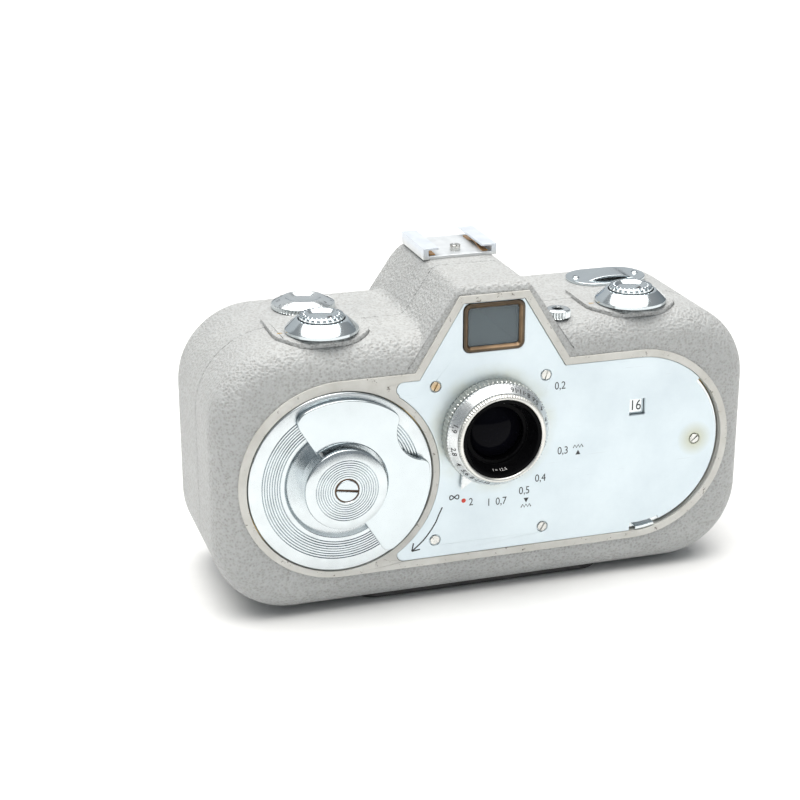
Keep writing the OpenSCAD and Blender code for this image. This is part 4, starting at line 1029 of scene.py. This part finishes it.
def knob(side, name, line_angles, a0, a1):
    """A crowned button in its skirt, with the skirt's lines, an arrow from a0 to a1 and the body's index."""
    place = up_axis(side * KNOB_X, KNOB_D, TONGUE_TOP)
    profile = [(3.26, 0.25), (9.95, 0.25), (10.05, 0.35), (10.05, 1.05), (9.9, 1.25), (7.35, 3.52),
               (7.15, 3.64), (6.9, 3.7), (6.5, 3.7), (6.5, 1.15), (3.26, 1.05)]
    put(name + "_skirt", lathe(name + "_skirt", profile, place, 160), "polished", name + "_collar",
        (name + "_collar",), 24)

    profile = [(0, -4.45), (3.6, -4.45), (3.6, -3.55), (2.5, -3.5), (2.5, 2.9), (6.1, 2.9), (6.2, 3.0),
               (6.2, 3.6), (6.2, 4.05), (6.16, 4.5), (6.0, 4.75), (5.75, 4.94), (5.5, 5.0), (5.15, 5.01),
               (4.85, 5.0), (4.6, 4.94), (4.35, 4.8), (3.75, 4.27), (3.5, 4.14), (3.2, 4.08), (0, 4.0)]
    put(name + "_crown", lathe(name + "_crown", profile, place, 384, notch), "polished", name + "_button",
        (name + "_button",), 30)

    lines = [shape("line", [rect(0, 0, 0.3, 2.7, 0.06)], 0, 0.02, on_cone(place, SKIRT_CONE, degrees))
             for degrees in line_angles]
    if side > 0:
        dot = arc(0, -1.1, 0.24, 0, 330, 11)
        lines.append(shape("dot", [dot], 0, 0.02, on_cone(place, SKIRT_CONE, -161)))
    put(name + "_lines", merged(name + "_lines", lines), "blue_ink", name + "_collar")

    bow = arc(0, 0, 2.35, a0, a1, 16)
    end = Vector(bow[0])
    out, along = Vector(polar(0, 0, 1, a0)), Vector(polar(0, 0, 1, a0 - 90))
    head = [tuple(end - out * 0.85), tuple(end + out * 0.85), tuple(end + along * 1.5)]
    crown_face = up_axis(side * KNOB_X, KNOB_D, TONGUE_TOP + 4.065)
    parts = [shape("bow", [ribbon(bow, 0.22)], 0, PRINT, crown_face),
             shape("barb", [head], 0, PRINT, crown_face)]
    put(name + "_arrow", merged(name + "_arrow", parts), "ink", name + "_button")
    dash = shape("dash", [rect(side * KNOB_X - 11.4, 0, 1.5, 0.55, 0.2)], 0, 0.05,
                 up_axis(0, KNOB_D + 1.2, TONGUE_TOP), 0.015)
    put(name + "_index", dash, "gold_ink", "camera")


knob(-1, "left", (-148, -67), 35, 150)
knob(1, "right", (-166,), 30, 145)

counter_place = up_axis(*COUNTER, TOP)
profile = [(0, -3.4), (1.5, -3.4), (1.5, 0.3), (8.85, 0.3), (9.0, 0.42), (9.0, 1.45), (8.85, 1.72),
           (8.6, 1.92), (5.85, 3.14), (5.6, 3.2), (5.25, 3.2), (5.05, 3.12), (3.6, 2.45), (3.4, 2.38),
           (3.1, 2.33), (0, 2.1)]
put("counter_turned", lathe("counter_turned", profile, counter_place, 480, knurl((4, 5), 60, 0.35, 0.8)),
    "chrome", "counter", ("counter_dial",), 24)

COUNTER_CONE = (8.6, 1.92, 5.85, 3.14)
marks = []
for k in range(8):
    marks.append(letters(str(2 * k), 1.75, on_cone(counter_place, COUNTER_CONE, 45 * k - 90), PRINT, 0.9))
    spot = on_cone(counter_place, COUNTER_CONE, 45 * k - 67.5)
    marks.append(shape("tick", [rect(0, -0.95, 0.16, 0.8, 0.05)], 0, 0.02, spot))
put("counter_figures", merged("counter_figures", marks), "ink", "counter")

profile = [(1.5, -3.0), (2.15, -3.0), (2.15, 0.02), (3.45, 0.02), (3.6, 0.15), (3.6, 1.7), (3.42, 2.0),
           (3.1, 2.25), (2.6, 2.42), (2.1, 2.46), (1.75, 2.36), (1.5, 2.0)]
socket_place = up_axis(*SOCKET, TOP)
put("socket_knurled", lathe("socket_knurled", profile, socket_place, 336, knurl((4, 5), 28, 0.3, 0.8)),
    "chrome", "camera", ("release_socket",), 24)
